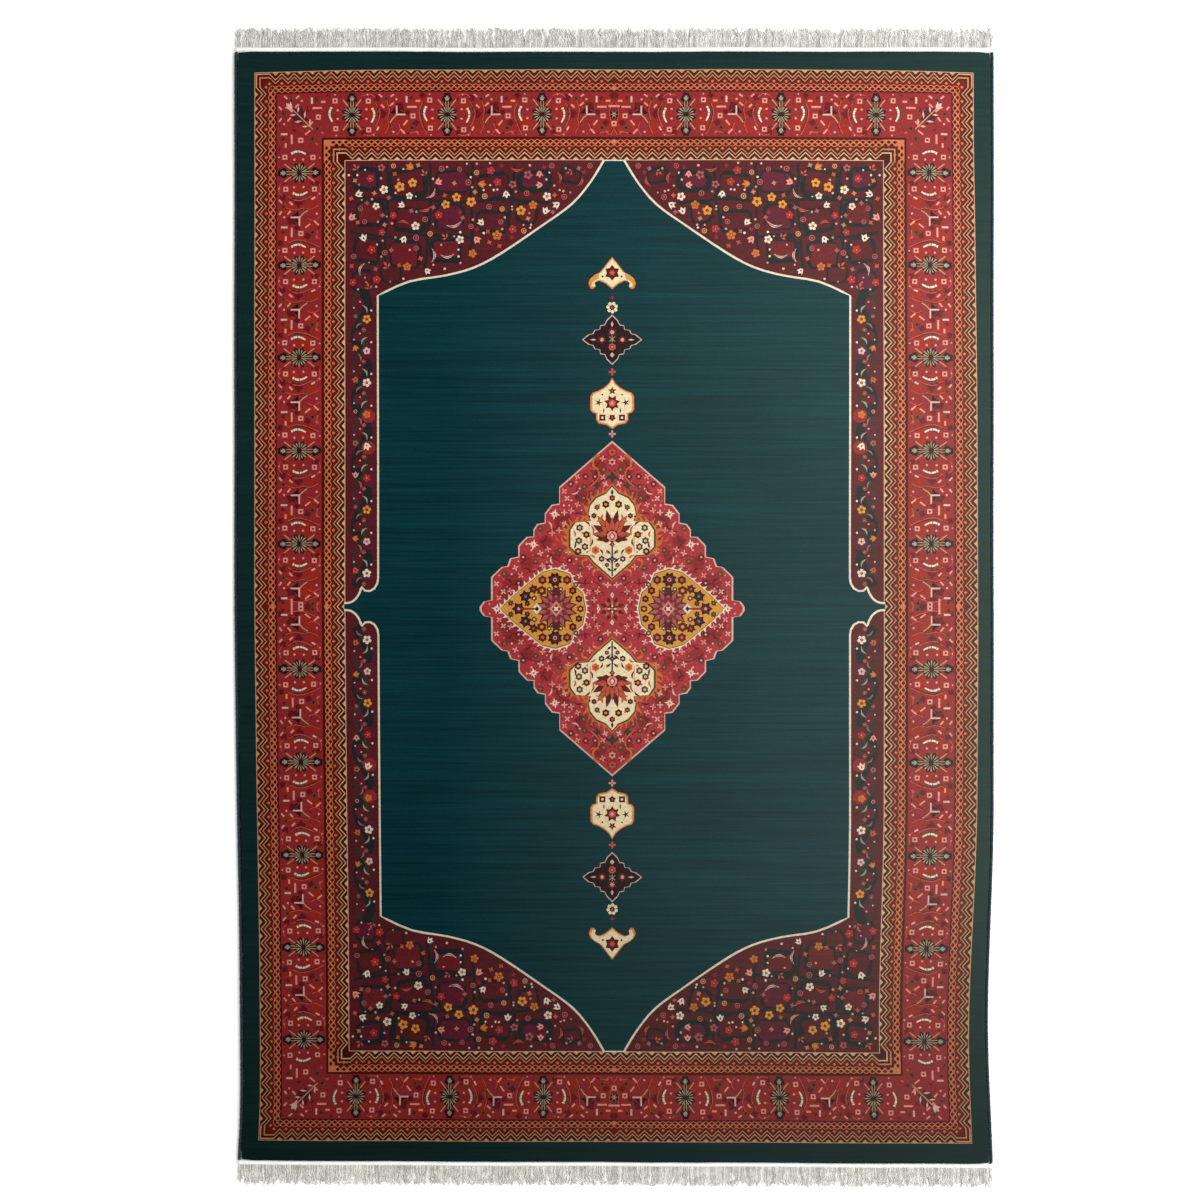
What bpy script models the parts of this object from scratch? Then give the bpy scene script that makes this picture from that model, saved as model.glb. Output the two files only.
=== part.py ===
"""Machine-made gabbeh rug, two by three metres, lying flat with its pile up.

Seven pieces: the pile cloth, an overcast yarn edge down each side, a woven band across
each end, and a fringe hanging out of each band. The underside of every piece is at z = 0.
"""

import math

import bmesh
import bpy

# Outline, in metres. X runs across the rug, Y along it, and the middle is the origin.
RUG_WIDTH = 2.0  # across the pile with both overcast edges
PILE_LENGTH = 2.93  # along the pile, from end band to end band
PIECE_GAP = 0.0003  # between one piece and the next
MERGE_DISTANCE = 0.00001

# Thicknesses
PILE_THICKNESS = 0.011  # backing and pile together
OVERCAST_WIDTH = 0.008
OVERCAST_THICKNESS = 0.0085
BAND_WIDTH = 0.012
BAND_THICKNESS = 0.004
FRINGE_THICKNESS = 0.0035

# Soft corners
PILE_ROUNDING = 0.003
OVERCAST_ROUNDING = 0.0028
BAND_ROUNDING = 0.001
ROUNDING_STEPS = 2

# How the cloth wanders from a true rectangle
SIDE_RIPPLE = 0.0010  # each side weaves in and out by this much
SIDE_RIPPLE_LENGTH = 0.62  # from one swell to the next
END_RIPPLE = 0.0016  # the ends weave in and out
END_RIPPLE_LENGTH = 0.47
NEAR_END_SKEW = 0.009  # the near end's left corner is this much short of its right one
# Towards the near end each side is drawn in by dip, most at this Y, and comes out again
WAISTS = {
    "left": {"dip": 0.016, "at": -1.27, "fades_above": 1.35, "fades_below": 0.38},
    "right": {"dip": 0.015, "at": -1.10, "fades_above": 0.60, "fades_below": 0.48},
}
SWELL = {"share": 0.3, "slow_share": 0.2, "slow_stretch": 2.7}  # two cosines make a ripple
SIDE_STEPS = 32  # straight stretches along a side
END_STEPS = 20  # straight stretches along an end

# Fringe: one comb, whose teeth are the locks that the strands lie in
FRINGE_LENGTH = 0.0455  # from the band to the longest tip
FRINGE_SPINE = 0.004  # the strands' roots, beside the band
FRINGE_UNEVEN = 0.008  # the shortest lock is this much shorter
LOCK_COUNT = 100
LOCK_TIP = 0.56  # share of a lock's pitch that its tip fills
LOCK_LEAN = 0.0035  # the most that a tip lies to one side
LOCK_SLANT = 0.0015  # one corner of a tip runs past the other
# Radians from one lock to the next, in the pair of sines that make each of these uneven
LEAN_RATES = (1.9, 0.53)
SHORT_RATES = (2.3, 0.71)
SLANT_RATES = (4.1, 1.3)
END_SHIFT = 0.37  # locks by which the two ends' unevenness differs

SIDES = {"left": -1, "right": 1}
ENDS = {"near": -1, "far": 1}

YARNS = {
    "pile": {"color": (0.045, 0.060, 0.050, 1.0), "roughness": 0.95},
    "overcast_yarn": {"color": (0.075, 0.090, 0.075, 1.0), "roughness": 0.90},
    "band_cotton": {"color": (0.760, 0.740, 0.690, 1.0), "roughness": 0.90},
    "fringe_yarn": {"color": (0.730, 0.710, 0.670, 1.0), "roughness": 0.85},
}


def clear_scene():
    for thing in list(bpy.data.objects):
        bpy.data.objects.remove(thing, do_unlink=True)


def make_collection(name):
    collection = bpy.data.collections.new(name)
    bpy.context.scene.collection.children.link(collection)
    return collection


def make_material(name):
    yarn = YARNS[name]
    material = bpy.data.materials.new(name)
    material.use_nodes = True
    shader = material.node_tree.nodes["Principled BSDF"]
    shader.inputs["Base Color"].default_value = yarn["color"]
    shader.inputs["Roughness"].default_value = yarn["roughness"]
    shader.inputs["Metallic"].default_value = 0.0
    material.diffuse_color = yarn["color"]
    return material


def ripple(at, wave_length, shift):
    """0 to 1, in a slow uneven swell along an edge."""
    swell = math.cos(math.tau * at / wave_length + shift)
    slow_swell = math.cos(math.tau * at / (SWELL["slow_stretch"] * wave_length) + 2.0 * shift)
    return 0.5 - SWELL["share"] * swell - SWELL["slow_share"] * slow_swell


def soft_step(t):
    t = min(max(t, 0.0), 1.0)
    return t * t * (3.0 - 2.0 * t)


def side_edge(side, y):
    """X of the outside of a side's overcast edge, at this Y. It only ever dips inwards."""
    waist = WAISTS[side]
    fade = waist["fades_above"] if y > waist["at"] else waist["fades_below"]
    dip = waist["dip"] * (1.0 - soft_step(abs(y - waist["at"]) / fade))
    dip += SIDE_RIPPLE * ripple(y, SIDE_RIPPLE_LENGTH, SIDES[side])
    return SIDES[side] * (RUG_WIDTH / 2 - dip)


def end_edge(end, x, out=0.0):
    """Y of the pile's end at this X, or of a line that far outside it."""
    dip = END_RIPPLE * ripple(x, END_RIPPLE_LENGTH, 2.0 * ENDS[end])
    if end == "near":
        dip += NEAR_END_SKEW * (0.5 - x / RUG_WIDTH)
    return ENDS[end] * (PILE_LENGTH / 2 - dip + out)


def spread(low, high, steps):
    """Even steps from low to high, both included."""
    return [low + (high - low) * i / steps for i in range(steps + 1)]


def flat_solid(name, rings, thickness, yarn, parts, rounding=0.0):
    """A solid standing on z = 0 whose plan is these rings of points, its rims rounded over.

    Rings that share an edge become one sheet before it is given its thickness.
    """
    sheet = bmesh.new()
    for ring in rings:
        face = sheet.faces.new([sheet.verts.new((x, y, 0.0)) for x, y in ring])
        face.normal_update()
        if face.normal.z < 0.0:
            face.normal_flip()
    bmesh.ops.remove_doubles(sheet, verts=sheet.verts, dist=MERGE_DISTANCE)
    mesh = bpy.data.meshes.new(name)
    sheet.to_mesh(mesh)
    sheet.free()
    mesh.materials.append(make_material(yarn))

    piece = bpy.data.objects.new(name, mesh)
    parts.objects.link(piece)
    solidify = piece.modifiers.new("thickness", "SOLIDIFY")
    solidify.thickness = thickness
    solidify.offset = 1.0  # upwards from the underside
    if rounding:
        bevel = piece.modifiers.new("soft rims", "BEVEL")
        bevel.width = rounding
        bevel.segments = ROUNDING_STEPS
        bevel.limit_method = "ANGLE"
        bevel.angle_limit = math.radians(60)
    return piece


def side_points(side, inset, short=0.0):
    """Points up a side, this far in from its outside, stopping that far short of both ends."""
    x = SIDES[side] * RUG_WIDTH / 2
    ys = spread(end_edge("near", x) + short, end_edge("far", x) - short, SIDE_STEPS)
    return [(side_edge(side, y) - SIDES[side] * inset, y) for y in ys]


def pile_cloth(parts):
    """The woven pile and its backing, one cloth between the overcast edges."""
    left = side_points("left", OVERCAST_WIDTH + PIECE_GAP)
    right = side_points("right", OVERCAST_WIDTH + PIECE_GAP)
    near = [(x, end_edge("near", x)) for x in spread(left[0][0], right[0][0], END_STEPS)]
    far = [(x, end_edge("far", x)) for x in spread(left[-1][0], right[-1][0], END_STEPS)]
    outline = near + right[1:-1] + far[::-1] + left[-2:0:-1]
    flat_solid("pile_cloth", [outline], PILE_THICKNESS, "pile", parts, PILE_ROUNDING)


def overcast_edge(side, parts):
    """Yarn sewn over and over along one side, as a flat-bottomed cord."""
    outer = side_points(side, 0.0, PIECE_GAP)
    inner = side_points(side, OVERCAST_WIDTH, PIECE_GAP)
    outline = outer + inner[::-1]
    name = f"overcast_edge_{side}"
    flat_solid(name, [outline], OVERCAST_THICKNESS, "overcast_yarn", parts, OVERCAST_ROUNDING)


def end_band(end, parts):
    """The flat woven band across one end, sewn against the pile's last row."""
    corner = ENDS[end] * PILE_LENGTH / 2
    xs = spread(side_edge("left", corner), side_edge("right", corner), END_STEPS)
    inner = [(x, end_edge(end, x, PIECE_GAP)) for x in xs]
    outer = [(x, end_edge(end, x, PIECE_GAP + BAND_WIDTH)) for x in xs]
    outline = inner + outer[::-1]
    flat_solid(f"end_band_{end}", [outline], BAND_THICKNESS, "band_cotton", parts, BAND_ROUNDING)


def uneven(turn, rates):
    """-1 to 1, unlike its neighbours, and the same in every build."""
    return 0.5 * (math.sin(rates[0] * turn) + math.sin(rates[1] * turn))


def lock_tip(end, index, middle, pitch, root_out):
    """The two corners of a lock's tip, left then right."""
    turn = index + END_SHIFT * ENDS[end]
    lean = LOCK_LEAN * uneven(turn, LEAN_RATES)
    short = FRINGE_UNEVEN * (0.5 + 0.5 * uneven(turn, SHORT_RATES))
    slant = LOCK_SLANT * uneven(turn, SLANT_RATES)
    tip_out = root_out + FRINGE_LENGTH - short
    half_tip = LOCK_TIP * pitch / 2
    return [
        (middle - half_tip + lean, end_edge(end, middle, tip_out - max(slant, 0.0))),
        (middle + half_tip + lean, end_edge(end, middle, tip_out + min(slant, 0.0))),
    ]


def fringe(end, parts):
    """The fringe at one end: a comb of soft locks hanging out of the band."""
    corner = ENDS[end] * PILE_LENGTH / 2
    left_x = side_edge("left", corner)
    right_x = side_edge("right", corner)
    pitch = (right_x - left_x) / LOCK_COUNT
    root_out = BAND_WIDTH + 2 * PIECE_GAP

    between = spread(left_x, right_x, LOCK_COUNT)
    roots = [(x, end_edge(end, x, root_out)) for x in between]
    valleys = [(x, end_edge(end, x, root_out + FRINGE_SPINE)) for x in between]
    locks = []
    for index in range(LOCK_COUNT):
        tip_left, tip_right = lock_tip(end, index, between[index] + pitch / 2, pitch, root_out)
        left = [tip_left, valleys[index], roots[index]]
        right = [roots[index + 1], valleys[index + 1], tip_right]
        locks.append(left + right)
    flat_solid(f"fringe_{end}", locks, FRINGE_THICKNESS, "fringe_yarn", parts)


def build_rug():
    clear_scene()
    parts = make_collection("gabbeh_rug")
    pile_cloth(parts)
    for side in SIDES:
        overcast_edge(side, parts)
    for end in ENDS:
        end_band(end, parts)
        fringe(end, parts)


build_rug()
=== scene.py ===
import math
import random

import bmesh
import bpy
import numpy as np
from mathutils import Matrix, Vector, geometry, noise


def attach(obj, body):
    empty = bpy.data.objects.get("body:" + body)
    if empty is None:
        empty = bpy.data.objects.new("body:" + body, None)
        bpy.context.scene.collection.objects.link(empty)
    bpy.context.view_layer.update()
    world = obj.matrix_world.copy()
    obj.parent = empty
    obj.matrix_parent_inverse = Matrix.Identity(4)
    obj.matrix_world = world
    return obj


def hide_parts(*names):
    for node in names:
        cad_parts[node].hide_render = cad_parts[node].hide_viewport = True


# Medallion-and-corner rug, power loomed: a cut pile, an overcast yarn edge down each side,
# a flat cotton band across each end and the warps left long as a fringe.
# The pattern is charted in millimetres from the rug's middle, X across and Y along,
# and then stretched onto the cloth as it really lies.

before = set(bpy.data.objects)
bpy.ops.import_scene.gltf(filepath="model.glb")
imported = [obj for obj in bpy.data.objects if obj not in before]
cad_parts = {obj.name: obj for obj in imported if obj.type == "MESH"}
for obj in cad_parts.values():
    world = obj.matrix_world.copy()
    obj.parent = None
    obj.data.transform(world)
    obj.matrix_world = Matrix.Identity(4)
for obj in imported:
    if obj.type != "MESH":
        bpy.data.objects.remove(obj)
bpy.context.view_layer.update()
mm = 0.001

print("frame loaded:", len(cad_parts), "nodes")


# yarn colours, 0 to 255, and how streaky each lies in the pile; jute is the backing
dyes = {
    "bottle": ((9, 54, 59), 1.0),
    "fir": ((18, 45, 44), 0.6),
    "ink": ((40, 20, 24), 0.3),
    "charcoal": ((40, 39, 41), 0.35),
    "navy": ((44, 38, 58), 0.3),
    "walnut": ((76, 18, 8), 0.3),
    "wine": ((90, 32, 36), 0.35),
    "plum": ((96, 32, 47), 0.35),
    "madder": ((148, 42, 44), 0.3),
    "oxblood": ((106, 26, 28), 0.3),
    "rose": ((177, 54, 60), 0.3),
    "scarlet": ((158, 42, 32), 0.3),
    "cherry": ((190, 46, 44), 0.3),
    "garnet": ((108, 34, 38), 0.35),
    "brick": ((104, 30, 18), 0.3),
    "terracotta": ((210, 114, 84), 0.25),
    "gilt": ((212, 120, 80), 0.25),
    "tawny": ((190, 84, 58), 0.25),
    "mauve": ((172, 92, 92), 0.25),
    "coral": ((206, 88, 68), 0.3),
    "pink": ((232, 152, 136), 0.25),
    "blush": ((224, 184, 168), 0.2),
    "ivory": ((238, 220, 196), 0.2),
    "cream": ((246, 226, 182), 0.2),
    "camel": ((202, 152, 112), 0.25),
    "sand": ((222, 176, 138), 0.25),
    "fawn": ((196, 128, 92), 0.25),
    "saffron": ((222, 152, 62), 0.2),
    "amber": ((208, 112, 54), 0.25),
    "olive": ((84, 66, 42), 0.3),
    "leaf": ((30, 62, 50), 0.3),
    "sage": ((166, 154, 124), 0.25),
    "jute": ((176, 150, 112), 0.0),
}


def linear(dye):
    # a colour as the shaders take it
    return tuple((c / 255 / 12.92) if c < 11 else ((c / 255 + 0.055) / 1.055) ** 2.4 for c in dye)


# the chart: outlines and their yarns, lowest first
chart = []
quarters = ((1, 1), (1, -1), (-1, 1), (-1, -1))
onAxis = 0.1  # a point nearer to an axis than this lies on it
stampOnAxis = 0.4  # and so does the middle of a motif
repeatWithin = 0.2  # two points closer than this are one


def lay(outline, yarn):
    chart.append((outline, yarn))


def disc(radius, sides=8, x=0.0, y=0.0):
    turns = [math.tau * (i + 0.5) / sides for i in range(sides)]
    return [(x + radius * math.cos(a), y + radius * math.sin(a)) for a in turns]


def diamond(halfX, halfY, x=0.0, y=0.0):
    return [(x + halfX, y), (x, y + halfY), (x - halfX, y), (x, y - halfY)]


def box(x0, y0, x1, y1):
    return [(x0, y0), (x1, y0), (x1, y1), (x0, y1)]


def swung(outline, turn, x=0.0, y=0.0):
    c, s = math.cos(math.radians(turn)), math.sin(math.radians(turn))
    return [(x + px * c - py * s, y + px * s + py * c) for px, py in outline]


def mirrored(half):
    # the other half of an outline that starts and ends on the Y axis
    return half + [(-x, y) for x, y in half[::-1] if abs(x) > onAxis]


def burst(reach, waist, points, turn=0.0, x=0.0, y=0.0):
    outline = []
    for i in range(2 * points):
        radius = waist if i % 2 else reach
        a = math.radians(turn) + math.pi * i / points
        outline.append((x + radius * math.cos(a), y + radius * math.sin(a)))
    return outline


def curve(*points, steps=5):
    # a smooth path through the points, each stretch in so many steps
    ends = [points[0], *points, points[-1]]
    path = []
    for i in range(len(points) - 1):
        p, q, r, s = ends[i : i + 4]
        for k in range(steps):
            t = k / steps
            w = (
                0.5 * (-t + 2 * t**2 - t**3),
                0.5 * (2 - 5 * t**2 + 3 * t**3),
                0.5 * (t + 4 * t**2 - 3 * t**3),
                0.5 * (-(t**2) + t**3),
            )
            path.append(tuple(w[0] * a + w[1] * b + w[2] * c + w[3] * d for a, b, c, d in zip(p, q, r, s)))
    return path + [points[-1]]


def ribbon(path, width, taper=1.0):
    # a run of stitches along a path, taper times as wide at its far end
    left, right = [], []
    last = len(path) - 1
    for i, (x, y) in enumerate(path):
        ax, ay = path[max(i - 1, 0)]
        bx, by = path[min(i + 1, last)]
        length = math.hypot(bx - ax, by - ay) or 1.0
        half = 0.5 * width * (1.0 + (taper - 1.0) * i / last)
        nx, ny = -(by - ay) / length * half, (bx - ax) / length * half
        left.append((x + nx, y + ny))
        right.append((x - nx, y - ny))
    return left + right[::-1]


def stamp(motif, x, y, turn=0.0, size=1.0, about=(0.0, 0.0)):
    # in each quarter of the rug, or twice where it lies on an axis
    for sx in (1, -1) if abs(x) > stampOnAxis else (1,):
        for sy in (1, -1) if abs(y) > stampOnAxis else (1,):
            for outline, yarn in motif:
                placed = swung([(px * size, py * size) for px, py in outline], turn, x, y)
                lay([(about[0] + sx * px, about[1] + sy * py) for px, py in placed], yarn)


def inQuarters(outline, yarn, about=(0.0, 0.0)):
    for sx, sy in quarters:
        lay([(about[0] + sx * px, about[1] + sy * py) for px, py in outline], yarn)


def distanceTo(x, y, start, end):
    # from a spot to the straight stretch between two points
    dx, dy = end[0] - start[0], end[1] - start[1]
    t = min(max(((x - start[0]) * dx + (y - start[1]) * dy) / (dx * dx + dy * dy), 0.0), 1.0)
    return math.hypot(x - start[0] - t * dx, y - start[1] - t * dy)


def closed(ring):
    # its stretches, the last one back to where it began
    return list(zip(ring, ring[1:] + ring[:1]))


def isInside(ring, x, y):
    inside = False
    for (ax, ay), (bx, by) in closed(ring):
        if (ay > y) != (by > y) and x < ax + (y - ay) * (bx - ax) / (by - ay):
            inside = not inside
    return inside


def isNear(stretches, x, y, margin):
    return any(distanceTo(x, y, a, b) < margin for a, b in stretches)


# small motifs, each about its own middle
def bead(yarn="pink", radius=3.4):
    return [(disc(radius, 5), yarn)]


def pane(rim="pink", eye="walnut", half=6.4, hole=2.7):
    return [(box(-half, -half, half, half), rim), (box(-hole, -hole, hole, hole), eye)]


def bar(length, yarn="pink", width=4.6, turn=0):
    return [(swung(box(-length / 2, -width / 2, length / 2, width / 2), turn), yarn)]


def floret(petal="olive", eye="ink", reach=8.0):
    return [(burst(reach, reach * 0.42, 5, 18), petal), (disc(reach * 0.3, 5), eye)]


def daisy(petal="ivory", eye="saffron", rim=None, reach=7.4, radius=4.9, count=5):
    parts = [(disc(reach + radius + 2.2, 9), rim)] if rim else []
    for i in range(count):
        a = math.tau * i / count + 0.31
        parts.append((disc(radius, 5, reach * math.cos(a), reach * math.sin(a)), petal))
    parts.append((disc(reach * 0.52, 6), "wine"))
    return parts + [(disc(reach * 0.32, 5), eye)]


def roundel(rim="pink", ground="wine", eye="coral", radius=9.0):
    return [(disc(radius, 8), rim), (disc(radius * 0.68, 8), ground), (disc(radius * 0.34, 5), eye)]


def tulip(petal="ivory", heart="wine"):
    cup = [(0, -10), (6, -5), (11, 7), (5, 4), (0, 12), (-5, 4), (-11, 7), (-6, -5)]
    return [(cup, petal), (diamond(2.4, 4.4, 0, -1), heart)]


def posy(first, second, leaf):
    # two blooms and a bud on one stalk
    parts = [(ribbon(curve((-14, -12), (-2, -2), (4, 12), steps=2), 2.2), leaf)]
    for motif, x, y, size in (
        (daisy(first, "cherry", reach=7, radius=5), 5, 12, 1.0),
        (tulip(second, "wine"), -13, -13, 0.95),
        (bead("coral", 4.4), 12, -8, 1.0),
        ([(diamond(9, 3.2), leaf)], 2, -9, 1.0),
    ):
        for outline, yarn in motif:
            parts.append(([(x + size * px, y + size * py) for px, py in outline], yarn))
    return parts


def quill(yarn="ivory", length=48.0, width=8.0, bend=15.0, rib=None):
    # a curved leaf, fattest in the middle
    steps = 7
    over, under = [], []
    for i in range(steps + 1):
        t = i / steps
        x = length * (t - 0.5)
        over.append((x, bend * math.sin(math.pi * t)))
        under.append((x, (bend - width) * math.sin(math.pi * t)))
    parts = [(over + under[-2:0:-1], yarn)]
    if rib:
        spine = [((a[0] + b[0]) / 2, (a[1] + b[1]) / 2) for a, b in zip(over, under)]
        parts.append((ribbon(spine[1:-1], 1.6), rib))
    return parts


def sprig(stalk="leaf", tip="coral"):
    return [
        (box(-1.4, -12, 1.4, 5), stalk),
        (diamond(3.4, 7, 0, 9), tip),
        (swung(diamond(3, 6.4), 52, -6, 1), tip),
        (swung(diamond(3, 6.4), -52, 6, 1), tip),
    ]


def crosslet(yarn="blush", eye="madder", reach=8.0, width=3.6):
    return [
        (swung(box(-reach, -width / 2, reach, width / 2), 45), yarn),
        (swung(box(-width / 2, -reach, width / 2, reach), 45), yarn),
        (diamond(width * 0.5, width * 0.5), eye),
    ]


# half sizes of the rectangles that divide the rug
lines = {
    "outerGuard": (950, 1419),
    "mainBorder": (891, 1360),
    "innerGuard": (772, 1241),
    "ground": (710, 1179),
}


# Guard stripes: nested chevrons on one side, a lattice of small diamonds on the other.
# Each fold is where a fill's outline has its valleys and peaks, measured from the chevron side.
guard = {
    "pitch": (33.0, 37.0),  # across the rug's ends, along its sides
    "width": (59, 62),  # this and the next three: the outer guard's and the inner one's
    "corner": (40, 64),  # left plain for the stripes to meet
    "pale": ("camel", "sand"),
    "lattice": ("terracotta", "gilt"),
    "folds": [
        (0, 0, "camel"),
        (2.2, 2.2, "walnut"),
        (3.5, 19.5, "camel"),
        (7.2, 23.2, "walnut"),
        (13, 29, "fawn"),
        (16.8, 32.8, "walnut"),
        (21.5, 37, "brick"),
    ],
    "nib": [(-8.5, 2), (8.5, 2), (0, 10)],
    "strip": ((40.0, 35.6), (56.4, 52.0)),  # the lattice's two zigzag edges, twice as fine
    "rows": (  # how deep, half pitches along, half length, half height, whether a hole
        (31.0, 0.5, 4.6, 4.6, False),
        (42.2, 0.0, 6.6, 4.8, True),
        (49.8, 0.5, 6.6, 4.8, True),
    ),
    "spare": 6,  # lozenges tried past a row's last fold
    "clear": 3,  # and how far each stays from the mitre
    "lineAt": 56,
}


def ringOutline(half, valley, peak, corner, fine=1):
    # closed line round the rug; flat where valley and peak are one
    halfX, halfY = half
    if valley == peak:
        return box(-halfX + valley, -halfY + valley, halfX - valley, halfY - valley)
    top, side = [], []
    step = halfX - corner, halfY - corner
    units = [round(step[i] / guard["pitch"][i]) * fine for i in (0, 1)]
    for run, along, place in (
        (top, 0, lambda u, t: (u, halfY - t)),
        (side, 1, lambda u, t: (halfX - t, u)),
    ):
        stops = [k * step[along] / units[along] for k in range(units[along] + 1)]
        for a, b in zip(stops, stops[1:]):
            run += [place(a, valley), place((a + b) / 2, peak)]
        run.append(place(stops[-1], valley))
    quarter = top + [(halfX - valley, halfY - valley)] + side[::-1]
    outline = quarter + [(x, -y) for x, y in quarter[::-1] if abs(y) > onAxis]
    return outline + [(-x, y) for x, y in outline[::-1] if abs(x) > onAxis]


def layGuard(half, outwards):
    # outwards: the chevrons stand on the field side, as in the inner guard
    width = guard["width"][outwards]
    pale = guard["pale"][outwards]
    folds = [(valley, peak, pale if yarn == "camel" else yarn) for valley, peak, yarn in guard["folds"]]
    corner = guard["corner"][outwards]
    lineAt = guard["lineAt"]
    lattice = guard["lattice"][outwards]
    near, far = guard["strip"]
    if not outwards:
        for valley, peak, yarn in folds:
            lay(ringOutline(half, valley, peak, corner), yarn)
        lay(ringOutline(half, *near, corner, 2), lattice)
        lay(ringOutline(half, *far, corner, 2), "walnut")
    else:
        gap = width - lineAt
        lay(ringOutline(half, 0, 0, corner), "walnut")
        lay(ringOutline(half, gap, gap, corner), "brick")
        lay(ringOutline(half, width - far[0], width - far[1], corner, 2), lattice)
        lay(ringOutline(half, width - near[0], width - near[1], corner, 2), "brick")
        inside = [yarn for _, _, yarn in folds[:-1]]
        for (valley, peak, _), yarn in zip(folds[:0:-1], inside[::-1]):
            lay(ringOutline(half, width - peak, width - valley, corner), yarn)
    for index, along in enumerate(half):
        units = round((along - corner) / guard["pitch"][index])
        step = (along - corner) / units
        across = half[1 - index]

        def place(motif, u, t):
            inset = width - t if outwards else t
            swing = (0 if index == 0 else -90) + (180 if outwards else 0)
            x, y = (u, across - inset) if index == 0 else (across - inset, u)
            stamp(motif, x, y, swing)

        nib = [([(px, -py) for px, py in guard["nib"]], pale)]
        for k in range(units):
            place(nib, (k if outwards else k + 0.5) * step, 0)
        for t, shift, halfU, halfT, hole in guard["rows"]:
            inset = width - t if outwards else t
            for k in range(2 * units + guard["spare"]):
                u = (k + 0.5 + shift) * step / 2
                skipped = not hole and k % 2 == outwards
                if skipped or u > along - inset - guard["clear"]:
                    continue
                place([(diamond(halfU, halfT), "walnut" if hole else lattice)], u, t)


def layBorders():
    layGuard(lines["outerGuard"], False)
    lay(box(*[-v for v in lines["mainBorder"]], *lines["mainBorder"]), "madder")
    layMainBorder()
    layGuard(lines["innerGuard"], True)
    lay(box(*[-v for v in lines["ground"]], *lines["ground"]), "wine")


# Main border: a rayed star, then bars, beads and a branch, over and over.
# Along the border from one star to the next, out from its middle line, and the turn.
border = {
    "starsAcross": (190, 441, 692),
    "starsAlong": (166, 413, 660, 905, 1150),
    "middle": (831.5, 1300.5),
    "toCorner": (250, 247),  # from the last star across and along to where one more would be
    "innermost": (178, 168),  # how far the middle cell goes, across and along
    "cornerClear": 6,
    "branchAt": (118, 0),
    "warmSpots": ((204, -22, 25), (172, 34, 20), (140, -34, 19), (52, 14, 18), (84, -36, 17), (92, 34, 16)),
    "darkSpots": (
        (66, 44, 11), (80, 2, 13), (126, 22, 14), (146, 6, 9), (168, -22, 10), (186, 50, 10), (30, -48, 9),
    ),
}


def rayedStar():
    parts = [(burst(29, 21, 8, 22.5), "ink")]
    for i in range(8):
        parts.append((swung([(8, 0), (18, -1.5), (24, 0), (18, 1.5)], 45 * i + 22.5), "camel"))
    for turn in (0, 180, 45, 135, 225, 315):
        parts.append((swung([(5, 0), (20, -2.2), (25, 0), (20, 2.2)], turn), "sage"))
    parts.append((diamond(4, 4), "walnut"))
    cup = [(0, 36), (4, 38), (7, 46), (3, 44), (3, 51), (0, 48)]
    cup += [(-3, 51), (-3, 44), (-7, 46), (-4, 38)]
    ears = [(0, 24), (6, 31), (15, 38), (12, 46), (8, 52), (8, 57)]
    ears += [(-8, 57), (-8, 52), (-12, 46), (-15, 38), (-6, 31)]
    for way in (1, -1):
        for outline, yarn in ((ears, "ink"), (cup, "sage")):
            parts.append(([(x, way * y) for x, y in outline], yarn))
        for side in (1, -1):
            parts.append((ribbon([(side * 2, way * 6), (side * 3.4, way * 35)], 2.0), "sage"))
            parts.append((ribbon([(side * 10, way * 22), (side * 24, way * 40)], 2.6), "camel"))
    return parts


def crescent(facing):
    # a bowed pale leaf with its ribs, and its shadow behind
    bow = curve((-3, 18), (2, 8), (2, -6), (-5, -20), steps=2)
    dark = ribbon([((x + 5) * facing, y + 1) for x, y in bow], 4.0, 0.6)
    pale = ribbon([(x * facing, y) for x, y in bow], 6.5, 0.6)
    parts = [(dark, "olive"), (pale, "ivory")]
    for x, y in (bow[1], bow[3], bow[4]):
        parts.append((ribbon([((x - 4) * facing, y - 2), ((x + 4) * facing, y + 1)], 1.4), "olive"))
    return parts


def branch():
    return [
        ([(-3, 3), (-4, 20), (-9, 12), (-17, 4), (-9, 1)], "ink"),
        ([(4, 4), (20, 4), (11, 9), (5, 14)], "ink"),
        (ribbon([(-1, -2), (-9, -9), (-18, -22)], 2.8), "camel"),
        (box(-2.2, -2, 2.2, 23), "blush"),
        (box(-2.2, -2.2, 23, 2.2), "blush"),
    ]


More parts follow.
